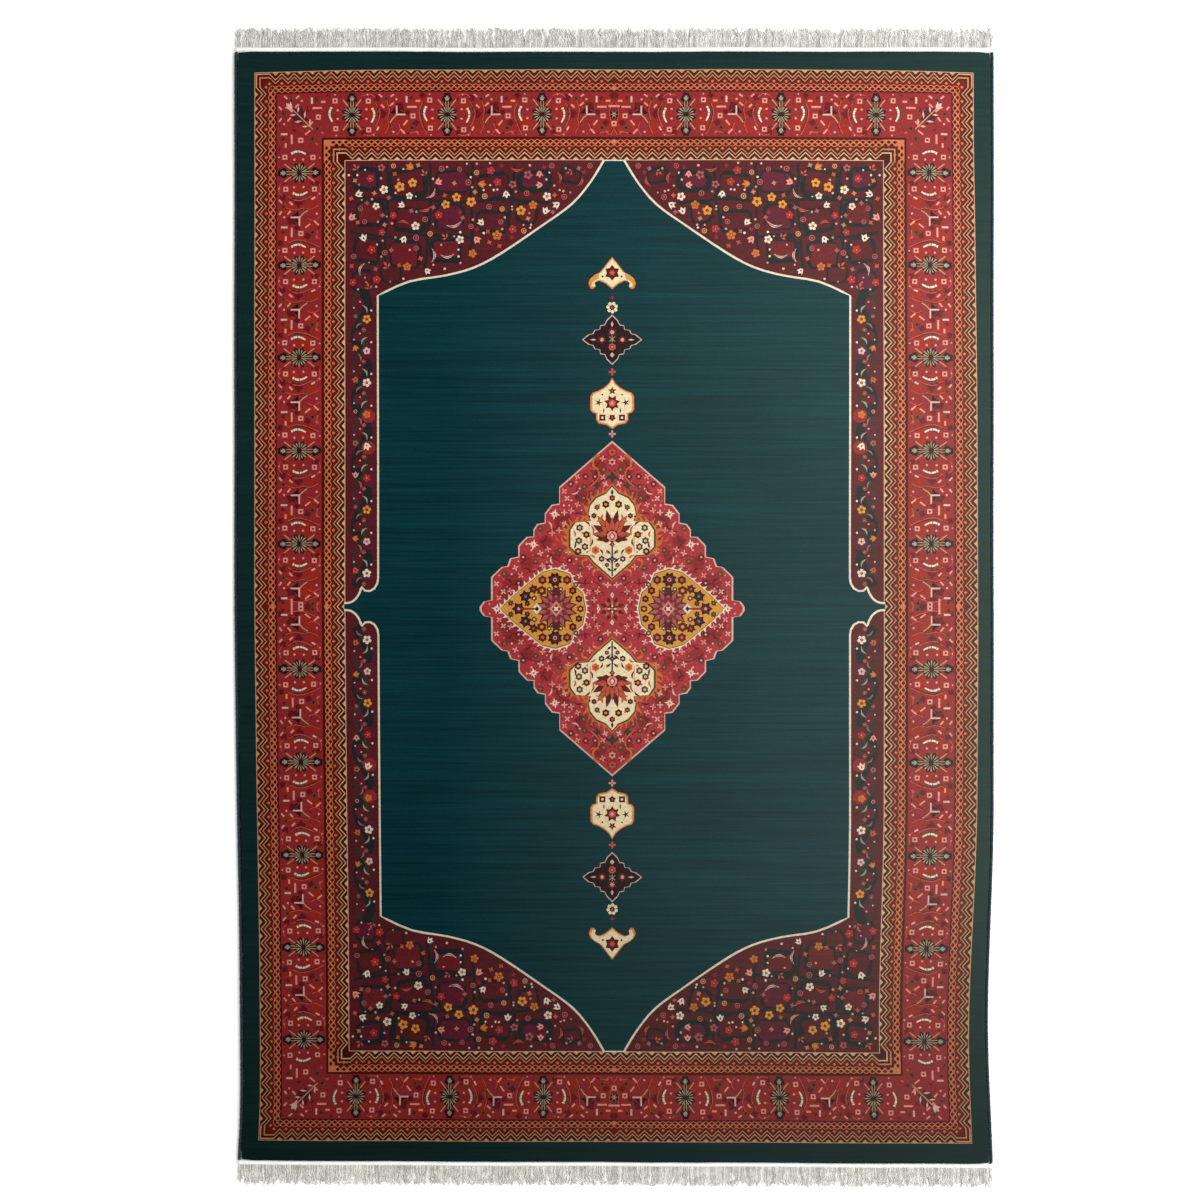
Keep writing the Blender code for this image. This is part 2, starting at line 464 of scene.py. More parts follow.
def borderCell():
    # one repeat of the border: how far along and out from its middle line, and what stands there
    stems = [
        curve((62, 30), (73, 12), (72, -10), (62, -32), steps=3),
        curve((92, 36), (99, 12), (94, -12), (98, -28), (88, -50), steps=2),
        curve((186, 30), (178, 8), (183, -20), (198, -54), steps=3),
        curve((122, -22), (128, -38), (118, -54), steps=2),
        curve((28, 50), (48, 55), (62, 44), steps=2),
        curve((30, -52), (46, -56), (64, -46), steps=2),
        curve((150, -50), (166, -46), (178, -54), steps=2),
    ]
    shadows = [ribbon([(x + 2.2, y + 1) for x, y in path[::2]], 3.4) for path in stems[:4]]
    return [
        *[(0, 0, [(shadow, "oxblood")]) for shadow in shadows],
        *[(0, 0, [(ribbon(path, 1.9), "coral")]) for path in stems],
        (43, 36, pane()),
        (44, -40, pane()),
        (38, 14, bead()),
        (38, -11, bead()),
        (41, 53, bead("pink", 2.4)),
        (57, -54, bead("pink", 2.4)),
        (56, -1, crescent(1)),
        (75, 50, bar(12, turn=-40)),
        (90, 42, floret("olive", "ink", 9)),
        (106, 50, bar(11, turn=38)),
        (117, 40, bead()),
        (81, 22, bar(12, turn=-45)),
        (105, 27, bar(13, turn=40)),
        (*border["branchAt"], branch()),
        (109, -46, bead()),
        (68, -37, bar(11, "blush", turn=62)),
        (141, -22, bar(17, turn=52)),
        (134, -45, bar(16, turn=-50)),
        (158, -35, floret("olive", "ink", 10)),
        (172, -46, bar(8, "coral", turn=-30)),
        (144, 40, bar(17, "blush", turn=90)),
        (156, 43, floret("ink", "olive", 6)),
        (158, 20, bar(25)),
        (174, 36, bar(12)),
        (161, -4, pane()),
        (193, 3, crescent(-1)),
        (205, 38, pane()),
        (207, -36, pane()),
        (212, 13, bead()),
        (212, -10, bead()),
        (28, 40, bar(10, "ink", 2.6, 30)),
        (30, -34, bar(9, "ink", 2.6, -35)),
        (68, 16, bar(10, "ink", 2.4, 75)),
        (98, -12, bar(12, "olive", 2.8, 50)),
        (134, 14, bar(11, "ink", 2.6, -60)),
        (148, -50, bar(9, "ink", 2.6, 15)),
        (182, -26, bar(11, "olive", 2.8, 70)),
        (184, 52, bar(9, "ink", 2.6, 20)),
        (205, 54, bead("pink", 2.4)),
        (208, -54, bead("pink", 2.4)),
    ]


def layMainBorder():
    midX, midY = border["middle"]
    runs = ((0, border["starsAcross"]), (1, border["starsAlong"]))

    def placed(side, at, out):
        # a spot that far along an end or a side, and out from its middle line
        return (midX + out, at) if side else (at, midY + out)

    # patches of a brighter and of a darker red between the stars, under everything else
    kinds = (("warmSpots", 0.8, 5, "scarlet"), ("darkSpots", 0.7, 4, "oxblood"))
    for side, stars in runs:
        for star in stars:
            for key, waist, points, yarn in kinds:
                for u, v, reach in border[key]:
                    turn = v if side else u
                    spot = placed(side, star - u, v)
                    inQuarters(burst(reach, reach * waist, points, turn, *spot), yarn)
    for side, stars in runs:
        corner = stars[-1] + border["toCorner"][side]
        for star in (*stars, corner):
            for u, v, motif in borderCell():
                pastMitre = v < star - u - border["middle"][side] + border["cornerClear"]
                ownCorner = star == corner and (pastMitre or (u, v) == border["branchAt"] or not u)
                if ownCorner or (star == stars[0] and u > border["innermost"][side]):
                    continue
                x, y = placed(side, star - u, v)
                for outline, yarn in motif:
                    swapped = [(py, -px) if side else (-px, py) for px, py in outline]
                    inQuarters([(x + dx, y + dy) for dx, dy in swapped], yarn)
    for star in border["starsAcross"]:
        stamp(rayedStar(), star, midY)
    for star in border["starsAlong"]:
        stamp(rayedStar(), midX, star, 90)
    # the bud between the two innermost stars, and a leafy branch across each corner
    stamp([(burst(15, 7, 6, 30), "ink"), (burst(9, 4, 6), "sage"), (disc(2.4, 5), "coral")], 0, midY)
    stamp(bar(30), 0, midY + 22)
    stamp(pane(), 0, midY - 24)
    stamp([(burst(26, 17, 7), "wine"), (ribbon([(-36, -36), (22, 22)], 3), "camel")], midX, midY)
    for step, length in ((-22, 8), (-6, 11), (10, 9)):
        for side in (1, -1):
            leafAt = (step + length * 0.8 * side, step - length * 0.8 * side)
            stamp([(swung(diamond(length, 2.8), 45 - 50 * side, *leafAt), "blush")], midX, midY)
    stamp([(swung(tulip("blush", "wine")[0][0], -45, 26, 26), "blush")], midX, midY)


# Field outline, one quarter: from its point at the end, down the swags to the long side,
# then round two small lobes to its point at the side
field = {
    "line": 5.4,
    "clear": (3, 2),  # what flowers keep from the ground's edge and from the line
    "start": (20, 6),  # and where the corners begin, across and along
    "swag": (
        (27, 1179), (62, 1122), (111, 1064), (182, 1012), (296, 935), (370, 896), (446, 875), (541, 859),
        (624, 822),
    ),
    "side": ((623, 76), (625, 62), (633, 48), (645, 41), (658, 42), (667, 52)),
    "lobe": ((667, 52), (674, 33), (684, 19), (697, 11), (713, 9)),
}


def fieldQuarter(grow=0.0):
    path = curve(*field["swag"], steps=3) + list(field["side"]) + curve(*field["lobe"], steps=3)[1:]
    moved = []
    last = len(path) - 1
    for i, (x, y) in enumerate(path):
        ax, ay = path[max(i - 1, 0)]
        bx, by = path[min(i + 1, last)]
        length = math.hypot(bx - ax, by - ay)
        moved.append((x - (by - ay) / length * grow, y + (bx - ax) / length * grow))
    return moved


def fourfold(quarter):
    half = quarter + [(x, -y) for x, y in quarter[::-1]]
    return half + [(-x, y) for x, y in half[::-1]]


def clearOfField(x, y, reach):
    # inside the corner piece or the strip beside the field, in the first quarter
    halfX, halfY = lines["ground"]
    fromEdge, fromLine = field["clear"]
    startX, startY = field["start"]
    if x > halfX - reach - fromEdge or y > halfY - reach - fromEdge or x < startX or y < startY:
        return False
    path = fieldQuarter()
    if isNear(zip(path, path[1:]), x, y, reach + field["line"] / 2 + fromLine):
        return False
    return not isInside(path + [(0, 0), (0, halfY)], x, y)


# Corners: dark vines in rounded loops, each with its own ground, and flowers strewn over all
corners = {
    "seed": 41,
    "from": (830, 30, 26),  # along, and across for the flowers and for the small things
    "tries": 9000,
    "vine": 12.5,
    "vineShare": (0.6, 1.1),  # of that width, from loop to loop
    "vineSeed": 6,
    "stem": 8,
    "tilt": 14,
    "cut": (14, 7),  # off a loop's corners, outside and inside
    "stray": (3.5, 3),  # how far the points of a loop and of a stem wander
    "loops": (  # middle across, middle along, half width, half height, ground inside
        (655, 1130, 38, 32, "plum"),
        (545, 1118, 52, 40, "wine"),
        (428, 1122, 48, 34, "plum"),
        (318, 1112, 44, 38, "wine"),
        (210, 1124, 46, 30, "plum"),
        (112, 1140, 34, 22, "wine"),
        (646, 1040, 40, 36, "garnet"),
        (540, 1022, 44, 34, "wine"),
        (434, 1030, 42, 38, "plum"),
        (322, 1018, 46, 30, "wine"),
        (230, 1040, 32, 30, "garnet"),
        (652, 942, 38, 36, "wine"),
        (552, 930, 42, 38, "garnet"),
        (444, 944, 44, 34, "garnet"),
        (664, 862, 30, 30, "plum"),
        (590, 880, 30, 26, "wine"),
    ),
    "flowers": 84,
    "flowerSize": (0.85, 1.1),
    "specks": 34,
    "dots": 66,
    "dull": ("mauve", "tawny", "madder", "coral", "fawn"),
    "pale": ("ivory", "blush", "pink", "sage"),
    "apart": 5.0,
}


def roundedBox(halfX, halfY, cut):
    x, y = halfX - cut, halfY - cut
    right = [(x, -halfY), (halfX, -y), (halfX, y), (x, halfY)]
    left = [(-x, halfY), (-halfX, y), (-halfX, -y), (-x, -halfY)]
    return right[1:] + left + right[:1]


def layCorners():
    pick = random.Random(corners["vineSeed"])
    vine, tilt = corners["vine"], corners["tilt"]
    loopStray, stemStray = corners["stray"]
    outerCut, innerCut = corners["cut"]

    def wandered(outline, reach):
        return [(x + pick.uniform(-reach, reach), y + pick.uniform(-reach, reach)) for x, y in outline]

    for x, y, halfX, halfY, inner in corners["loops"]:
        turn = pick.uniform(-tilt, tilt)
        thick = vine * pick.uniform(*corners["vineShare"])
        for inset, cut, yarn in ((0, outerCut, "charcoal"), (thick, innerCut, inner)):
            ring = wandered(roundedBox(halfX - inset, halfY - inset, cut), loopStray)
            inQuarters(swung(ring, turn, x, y), yarn)
    for path in (
        curve((700, 1082), (610, 1078), (500, 1074), (380, 1070), (270, 1076), (170, 1066)),
        curve((700, 990), (600, 976), (480, 982), (370, 974)),
        curve((600, 1170), (596, 1080), (604, 980), (606, 900)),
        curve((374, 1172), (378, 1080), (376, 990), (384, 930)),
        curve((486, 1170), (484, 1080), (492, 980), (500, 890)),
        curve((264, 1168), (270, 1080), (280, 1010)),
    ):
        inQuarters(ribbon(wandered(path, stemStray), corners["stem"]), "charcoal")


# Strips down each side of the field: one dark vine swaying up, a bloom in each of its bends
strip = {
    "middle": 667,
    "sway": 17,
    "wave": 168,
    "vine": 25,
    "tendril": 5,
    "bottom": 52,
    "step": 14,
    "top": 850,
    "bends": 9,
    "firstBend": 42,
    "bloomOut": 14,
}


def layStrips():
    def vineAt(y):
        return strip["middle"] + strip["sway"] * math.sin(math.tau * y / strip["wave"])

    stops = range(strip["bottom"], strip["top"], strip["step"])
    inQuarters(ribbon([(vineAt(y), y) for y in stops], strip["vine"]), "charcoal")
    # a thin stem sways against the vine
    tendril = [(2 * strip["middle"] - vineAt(y) + 4, y) for y in stops]
    inQuarters(ribbon(tendril, strip["tendril"]), "leaf")
    blooms = (  # ground, the large flower and the small one
        ("plum", daisy("ivory", "amber"), tulip("coral", "wine")),
        ("madder", daisy("amber", "saffron", reach=6, radius=4.6), roundel("pink", "wine", "coral", 6)),
        ("madder", tulip("ivory", "cherry"), daisy("mauve", "wine", reach=6, radius=4)),
        ("plum", daisy("cherry", "pink", "wine", reach=6, radius=4.4), tulip("pink", "wine")),
        ("wine", daisy("saffron", "cherry"), roundel("mauve", "wine", "pink", 6)),
        ("plum", daisy("blush", "coral", reach=6, radius=4.4), tulip("amber", "saffron")),
    )
    for k in range(strip["bends"]):
        y = strip["firstBend"] + strip["wave"] / 2 * (k + 0.5)
        side = 1 if vineAt(y) < strip["middle"] else -1
        patch, large, small = blooms[(5 * k) % len(blooms)]
        x = strip["middle"] + strip["bloomOut"] * side
        inQuarters(disc(19, 8, x + 4 * side, y), patch)
        inQuarters(disc(14, 8, x - 22 * side, y + 44), "plum" if patch != "plum" else "wine")
        for motif, out, up, turn, size in (
            (large, 0, 4, 40 * k, 1.0),
            (small, -30, 12, 150 - 50 * k, 0.85),
            (quill("sage", 26, 5, 8), -6, 30, 60 - 110 * (k % 2), 1.0),
            (quill("mauve", 22, 5, 7), -20, -14, 110 * (k % 2) - 40, 1.0),
            (bead("ivory", 3), 12, 27, 0, 1.0),
            (bead("blush", 2.6), -34, 34, 0, 1.0),
            (bead("pink", 2.8), -18, 50, 0, 1.0),
            (roundel("coral", "wine", "pink", 5.4), -8, -24, 0, 1.0),
        ):
            stamp(motif, x + out * side, y + up, turn, size)


def drawnKind(pick, kinds):
    # one of the kinds, each as often as its share says: its reach and its outlines
    draw = pick.random()
    for kind in kinds:
        draw -= kind[0]
        if draw < 0:
            break
    return kind[1:]


def hasRoom(placed, x, y, reach):
    return all(math.hypot(x - a, y - b) >= reach + r for a, b, r in placed)


def layFlowers():
    # strewn, the largest first, each clear of those before it
    pick = random.Random(corners["seed"])
    endX, endY = lines["ground"]
    fromY, flowersFrom, smallFrom = corners["from"]
    kinds = (  # share, reach
        (0.06, 23, posy("saffron", "ivory", "camel")),
        (0.04, 23, posy("ivory", "coral", "sage")),
        (0.07, 13, daisy("ivory", "saffron", reach=7, radius=4.6)),
        (0.09, 14, daisy("saffron", "cherry", reach=7.6, radius=5.2)),
        (0.07, 14, daisy("amber", "saffron", reach=7.6, radius=5)),
        (0.05, 13, daisy("cherry", "pink", "wine", reach=6.6, radius=4.6)),
        (0.04, 13, daisy("rose", "saffron", reach=6.6, radius=4.6)),
        (0.07, 12, tulip("ivory")),
        (0.06, 12, tulip("pink", "cherry")),
        (0.07, 12, tulip("amber", "saffron")),
        (0.12, 11, roundel("mauve", "wine", "coral", 8)),
        (0.05, 10, roundel("camel", "madder", "saffron", 8)),
        (0.07, 17, quill("blush", 42, 7, 13, "wine")),
        (0.05, 14, quill("coral", 32, 7, 10, "wine")),
        (0.05, 13, daisy("mauve", "wine", reach=7, radius=4.4)),
        (0.05, 11, sprig("leaf", "coral")),
        (0.05, 11, sprig("olive", "mauve")),
    )
    placed = []
    for _ in range(corners["tries"]):
        x, y = pick.uniform(flowersFrom, endX), pick.uniform(fromY, endY)
        turn = pick.uniform(0, 360)
        reach, motif = drawnKind(pick, kinds)
        size = pick.uniform(*corners["flowerSize"])
        if clearOfField(x, y, reach) and hasRoom(placed, x, y, reach + corners["apart"]):
            placed.append((x, y, reach))
            stamp(motif, x, y, turn, size)
        if len(placed) == corners["flowers"]:
            break

    def strewSmall(count, reach, make):
        left = count
        for _ in range(corners["tries"]):
            x, y = pick.uniform(smallFrom, endX), pick.uniform(fromY, endY)
            motif = make()
            if clearOfField(x, y, reach) and hasRoom(placed, x, y, reach - 1):
                placed.append((x, y, reach))
                left -= 1
                stamp(motif, x, y)
            if not left:
                break

    def speck():
        return [(burst(7.5, 4.0, 4, pick.uniform(0, 90)), pick.choice(corners["dull"]))]

    def dot():
        return bead(pick.choice(corners["pale"]), pick.uniform(2.4, 3.8))

    # dull florets, then pale dots, in what room is left
    strewSmall(corners["specks"], 8, speck)
    strewSmall(corners["dots"], 4, dot)


def layField():
    lay(fourfold(fieldQuarter(field["line"] / 2)), "ivory")
    lay(fourfold(fieldQuarter(-field["line"] / 2)), "bottle")


# Medallion, from its own middle. Its outline is one quarter, from the top point to the side.
medallion = {
    "about": (-5, -6),
    "outline": (
        (0, 444), (140, 322), (140, 278), (160, 275), (178, 252), (178, 228), (198, 224), (208, 210),
        (208, 191), (226, 190), (248, 167), (248, 138), (270, 133), (277, 113), (293, 110), (320, 84),
        (320, 23), (340, 19), (350, 5), (350, 0),
    ),
    "edge": 5,
    "seed": 8,
    "strewOver": ((6, 340), (5, 420)),
    "dotsUpTo": 430,
    "tries": (6000, 16000),  # for the flowers, and with the dots
    "strewn": 88,
    "dots": 50,
    "dotRadius": (2.2, 3.6),
    "dotClear": (4, 8, 12),  # from flowers, from the outline, from the shields
    "apart": 2.2,
    "shieldApart": 4,  # and this much more from a shield
    "creamShield": (
        (0, 322), (16, 304), (42, 292), (58, 272), (62, 250), (56, 232), (96, 228), (110, 208),
        (110, 164), (90, 144), (62, 142), (46, 122), (0, 82),
    ),
    "goldShield": (
        (-296, 0), (-262, 34), (-206, 80), (-186, 96), (-151, 105), (-112, 92), (-100, 62), (-78, 42),
        (-70, 0),
    ),
}


def shrunk(outline, by):
    # drawn in towards its own middle, by this much at its widest each way
    xs, ys = [x for x, _ in outline], [y for _, y in outline]
    midX, midY = (min(xs) + max(xs)) / 2, (min(ys) + max(ys)) / 2
    scaleX = 1 - 2 * by / (max(xs) - min(xs))
    scaleY = 1 - 2 * by / (max(ys) - min(ys))
    return [(midX + (x - midX) * scaleX, midY + (y - midY) * scaleY) for x, y in outline]


def dropRepeats(outline):
    kept = []
    for point in outline:
        if not kept or math.dist(point, kept[-1]) > repeatWithin:
            kept.append(point)
    return kept


def layCentred(outline, yarn):
    ax, ay = medallion["about"]
    lay([(ax + x, ay + y) for x, y in outline], yarn)


def put(motif, x, y, turn=0.0, size=1.0):
    stamp(motif, x, y, turn, size, medallion["about"])


def palmette(petal, second, core, reach):
    rings = (  # out to, in to, points, turn
        (1.06, 0.74, 14, 13, "walnut"),
        (0.99, 0.60, 14, 90, petal),
        (0.84, 0.44, 14, 77, "walnut"),
        (0.76, 0.42, 14, 77, second),
        (0.54, 0.34, 8, 90, "walnut"),
        (0.48, 0.30, 8, 90, petal),
    )
    parts = [(burst(reach * out, reach * waist, *shape), yarn) for out, waist, *shape, yarn in rings]
    return parts + [
        (diamond(reach * 0.30, reach * 0.36), "pink"),
        (diamond(reach * 0.21, reach * 0.26), "madder"),
        (burst(reach * 0.17, reach * 0.07, 4, 45), core),
    ]


def lotus(reach):
    # petals fanned upwards in two ranks, each with a dark edge, over a beaded heart
    parts = []
    fan = (  # tilt, length, plumpness
        (104, 0.60, 0.8, "brick"), (84, 0.74, 1.0, "tawny"), (60, 0.82, 1.0, "brick"),
        (36, 0.94, 1.0, "tawny"), (12, 1.0, 0.9, "brick"), (72, 0.50, 0.8, "coral"),
        (47, 0.58, 0.8, "coral"), (22, 0.66, 0.8, "coral"), (0, 0.70, 0.8, "tawny"),
    )
    for tilt, share, plump, yarn in fan:
        tip = share * reach
        for side in (1, -1) if tilt else (1,):
            for grow, dye in ((1.5, "walnut"), (0, yarn)):
                flank = [(8 * plump + grow, tip * 0.5), (5 * plump + grow, tip * 0.8)]
                petal = [(0, 0), *flank, (0, tip + 1.6 * grow), *[(-x, y) for x, y in flank[::-1]]]
                parts.append((swung(petal, side * tilt), dye))
    for side in (1, -1):
        curl = [(0, -10), (16, -18), (32, -10), (42, 4), (26, -2), (12, -2)]
        parts.append(([(side * x, y) for x, y in curl], "brick"))
    parts += [(burst(19, 15, 8), "walnut"), (disc(14, 8), "pink"), (diamond(9, 12), "cherry")]
    parts += [(diamond(5, 7), "ivory"), (diamond(8, 8, 0, -22), "walnut"), (diamond(4, 5, 0, -22), "coral")]
    return parts


def ringFloret(rim="olive", eye="pink", radius=9.0):
    return [(burst(radius * 1.18, radius * 0.9, 6, 30), rim), (disc(radius * 0.46, 5), eye)]


def layMedallion():
    full = dropRepeats(fourfold(list(medallion["outline"])))
    layCentred(full, "blush")
    layCentred(shrunk(full, medallion["edge"]), "rose")
    # patches of a darker red
    for x, y, radius in ((36, 372, 24), (130, 232, 24), (262, 66, 30)):
        inQuarters(disc(radius, 7, x, y), "madder", medallion["about"])
    for x, y, reach in (
        (132, 232, 24), (176, 176, 20), (226, 120, 20), (150, 140, 16), (284, 40, 22), (84, 300, 20),
    ):
        for sx, sy in quarters:
            layCentred(burst(reach, reach * 0.8, 5, 20, sx * x, sy * y), "madder")
    layTwigs()
    strewMedallion()
    layShields()
    layRosettes()


def layTwigs():
    # thin stems and flame-shaped leaves over the red ground, in every quarter
    twigs = (
        ((12, 404), (30, 392), (44, 372), (40, 350), (52, 334), (70, 322)),
        ((8, 346), (26, 340), (40, 322), (58, 300), (74, 272)),
        ((88, 330), (96, 306), (84, 286), (98, 266), (120, 258)),
        ((122, 244), (140, 232), (150, 210), (172, 204)),
        ((124, 120), (146, 128), (170, 150), (186, 180)),
        ((178, 134), (200, 140), (222, 132), (244, 118)),
        ((30, 60), (48, 72), (70, 66), (96, 74), (118, 96)),
        ((20, 44), (38, 40), (52, 24), (50, 8)),
        ((240, 60), (262, 66), (282, 50), (300, 30)),
        ((150, 118), (176, 116), (204, 100), (226, 96)),
    )
    flames = (
        ((34, 408), (48, 398), (50, 378), (36, 366), (38, 344), (58, 322)),
        ((114, 206), (130, 214), (128, 232)),
        ((112, 166), (128, 172), (134, 190)),
        ((66, 132), (80, 124), (74, 108)),
        ((34, 104), (50, 100), (48, 86)),
    )
    for paths, width, taper, yarn in ((twigs, 2.6, 1.0, "wine"), (flames, 7, 0.3, "amber")):
        for points in paths:
            for sx, sy in quarters:
                path = [(sx * x, sy * y) for x, y in curve(*points, steps=3)]
                layCentred(ribbon(path, width, taper), yarn)


def layTongues(stretches, pitch, reach, yarn, fill=0.66, tipAt=0.66):
    # a leaf tip on every pitch of an outline, leaning along it
    for (ax, ay), (bx, by) in stretches:
        length = math.hypot(bx - ax, by - ay)
        count = max(round(length / pitch), 1)
        nx, ny = -(by - ay) / length * reach, (bx - ax) / length * reach
        for k in range(count):
            foot, tip, heel = (k / count, (k + tipAt) / count, (k + fill) / count)
            tongue = [
                (ax + foot * (bx - ax), ay + foot * (by - ay)),
                (ax + tip * (bx - ax) + nx, ay + tip * (by - ay) + ny),
                (ax + heel * (bx - ax), ay + heel * (by - ay)),
            ]
            layCentred(tongue, yarn)


def layShields():
    # cream ones above and below, gold ones left and right, each with a rim of leaf tips
    for sy in (1, -1):
        for side in (1, -1):
            half = [(side * x * 1.06, sy * y) for x, y in medallion["creamShield"][1:10]]
            forwards = side * sy > 0
            half = half if forwards else half[::-1]
            tipAt = -0.3 if forwards else 1.1
            layTongues(zip(half, half[1:]), 15, 19, "amber", fill=0.8, tipAt=tipAt)
        cream = mirrored([(x, sy * y) for x, y in medallion["creamShield"]])
        for grow, yarn in ((9, "amber"), (5, "olive"), (0, "cream")):
            layCentred(shrunk(cream, -grow), yarn)
    for sx in (1, -1):
        half = medallion["goldShield"]
        gold = [(-sx * x, y) for x, y in (*half, *[(x, -y) for x, y in half[-2:0:-1]])]
        gold = gold[::-1] if sx > 0 else gold
        layTongues(closed(gold), 17, 13, "ivory")
        for grow, yarn in ((4.5, "ivory"), (1, "olive"), (-1, "saffron")):
            layCentred(shrunk(gold, -grow), yarn)


def layRosettes():
    def star(reach, waist, yarn, turn=0):
        return (burst(reach, waist, 6, turn), yarn)

    # cream shields, above and below
    put([(box(-2, -52, 2, 52), "ink")], 0, 138)
    put(lotus(69), 0, 192)
    for y, reach in ((150, 20), (128, 24), (104, 16)):
        put([(swung(diamond(reach * 0.5, 3.4), 40, reach * 0.45, 0), "ink")], 0.5, y)
    put([(burst(13, 6, 4), "navy"), (disc(3, 5), "coral")], 0, 132)
    put(ringFloret("walnut", "saffron", 9.5), 17, 276)
    put(ringFloret("brick", "coral", 7.5), 0, 293)
    put(ringFloret("olive", "coral", 7), 40, 268)
    put([(diamond(4, 9), "walnut")], 0, 308)
    put(ringFloret("walnut", "coral", 7), 48, 246)
    for x, y, rim, eye in (
        (86, 214, "olive", "blush"),
        (68, 196, "walnut", "saffron"),
        (88, 180, "olive", "blush"),
        (72, 164, "olive", "blush"),
        (90, 152, "walnut", "blush"),
    ):
        put(ringFloret(rim, eye, 9), x, y)
    put(ringFloret("amber", "cherry", 10), 44, 155)
    put(ringFloret("ink", "blush", 7.5), 28, 132)
    put(ringFloret("olive", "coral", 6), 14, 116)
    put(quill("coral", 30, 6, 9), 55, 208, 78)
    put(quill("walnut", 24, 5, 6), 56, 176, 100)
    put(quill("amber", 30, 7, 8), 34, 240, 130)
    put([(box(-1.2, -24, 1.2, 24), "coral")], 58, 176)
    for x, y, turn, yarn in (
        (66, 224, 40, "walnut"), (101, 198, 80, "coral"), (100, 168, 100, "walnut"),
        (30, 150, 60, "olive"), (52, 136, 30, "coral"), (30, 242, 120, "coral"),
    ):
        put(quill(yarn, 20, 5, 6), x, y, turn)
    for x, y, yarn in (
        (14, 150, "coral"), (12, 242, "walnut"), (66, 150, "coral"), (78, 200, "coral"),
        (60, 244, "walnut"), (34, 274, "coral"),
    ):
        put(bead(yarn, 3), x, y)
    # gold shields, left and right
    put(palmette("mauve", "madder", "ivory", 54), 148, 0)
    put([star(17, 9, "walnut"), star(13, 7, "plum")], 148, 46)
    put([(diamond(12.75, 15), "ivory"), (diamond(6, 7.2), "ink")], 199, 0)
    put([star(19, 12, "ink"), star(14, 8, "wine"), (disc(4.6, 5), "pink")], 247, 0)
    put([(box(-20, -2.4, 20, 2.4), "madder")], 224, 0)
    for x, y, reach, yarn in (
        (229, 33, 18, "navy"), (208, 52, 14, "wine"), (268, 15, 9, "olive"), (224, 14, 9, "navy"),
    ):
        put([star(reach, reach * 0.62, "ink", 15), star(reach * 0.72, reach * 0.4, yarn, 15)], x, y)
        put(bead("coral", reach * 0.22), x, y)
    heart = [(disc(6, 6), "pink"), (disc(3, 5), "ink")]
    put([(burst(21, 15, 8, 20), "ink"), (burst(16, 10, 8), "wine"), *heart], 151, 77)
    for x, y, radius, rim, eye in (
        (184, 76, 11, "wine", "coral"),
        (119, 76, 11, "wine", "coral"),
        (186, 48, 12, "brick", "saffron"),
        (104, 48, 10, "walnut", "coral"),
        (88, 26, 9, "ink", "coral"),
        (96, 64, 7, "olive", "blush"),
        (84, 0, 9, "wine", "pink"),
        (206, 28, 7, "brick", "ivory"),
        (136, 52, 6, "olive", "ivory"),
        (166, 52, 6, "olive", "ivory"),
    ):
        put(ringFloret(rim, eye, radius), x, y)
    # the rosette between the shields
    heart = (burst(19, 12, 8, 22), "madder")
    put([(burst(34, 20, 8, 22), "wine"), (burst(29, 15, 8), "coral"), heart], 0, 0)
    put([(burst(14, 5, 4), "ivory"), (burst(11, 5, 4, 45), "walnut"), (disc(4, 5), "amber")], 0, 0)
    for x, y in ((0, 36), (36, 0)):
        put([(diamond(5, 8), "ivory"), (diamond(2.2, 4), "coral")], x, y)
    # over the red ground
    for x, y, reach in ((208, 170, 15), (305, 0, 14), (152, 250, 15)):
        put([(burst(reach, 4.6, 4, 10), "ivory")], x, y)
        put([(burst(reach * 0.7, 3.4, 4, 55), "ivory"), (disc(3, 5), "coral")], x, y)
    for y, yarn in ((414, "coral"), (388, "pink")):
        put([(disc(14, 8), "madder"), star(11, 7, yarn, 30), (disc(4, 6), "wine")], 0, y)
    put([(burst(17, 8, 4), "leaf"), (disc(4, 6), "olive")], 0, 348)
    put([(burst(12, 6, 4), "leaf"), (disc(3, 5), "olive")], 40, 326)
    put(ringFloret("olive", "coral", 9), 22, 368)


def inShield(x, y, margin):
    # first quarter: inside either shield, or within margin of it
    for outline in (medallion["creamShield"], [(-px, py) for px, py in medallion["goldShield"]]):
        ring = list(outline)
        if isInside(ring, x, y) or isNear(closed(ring), x, y, margin):
            return True
    return False


def onRed(x, y, margin):
    # first quarter: inside the medallion, and that far from all its outline but the two axes
    ring = [(-2, 444), *medallion["outline"], (350, -2), (-2, -2)]
    rim = [(a, b) for a, b in closed(ring) if max(a[0], b[0]) >= 1 and max(a[1], b[1]) >= 1]
    return isInside(ring, x, y) and not isNear(rim, x, y, margin)


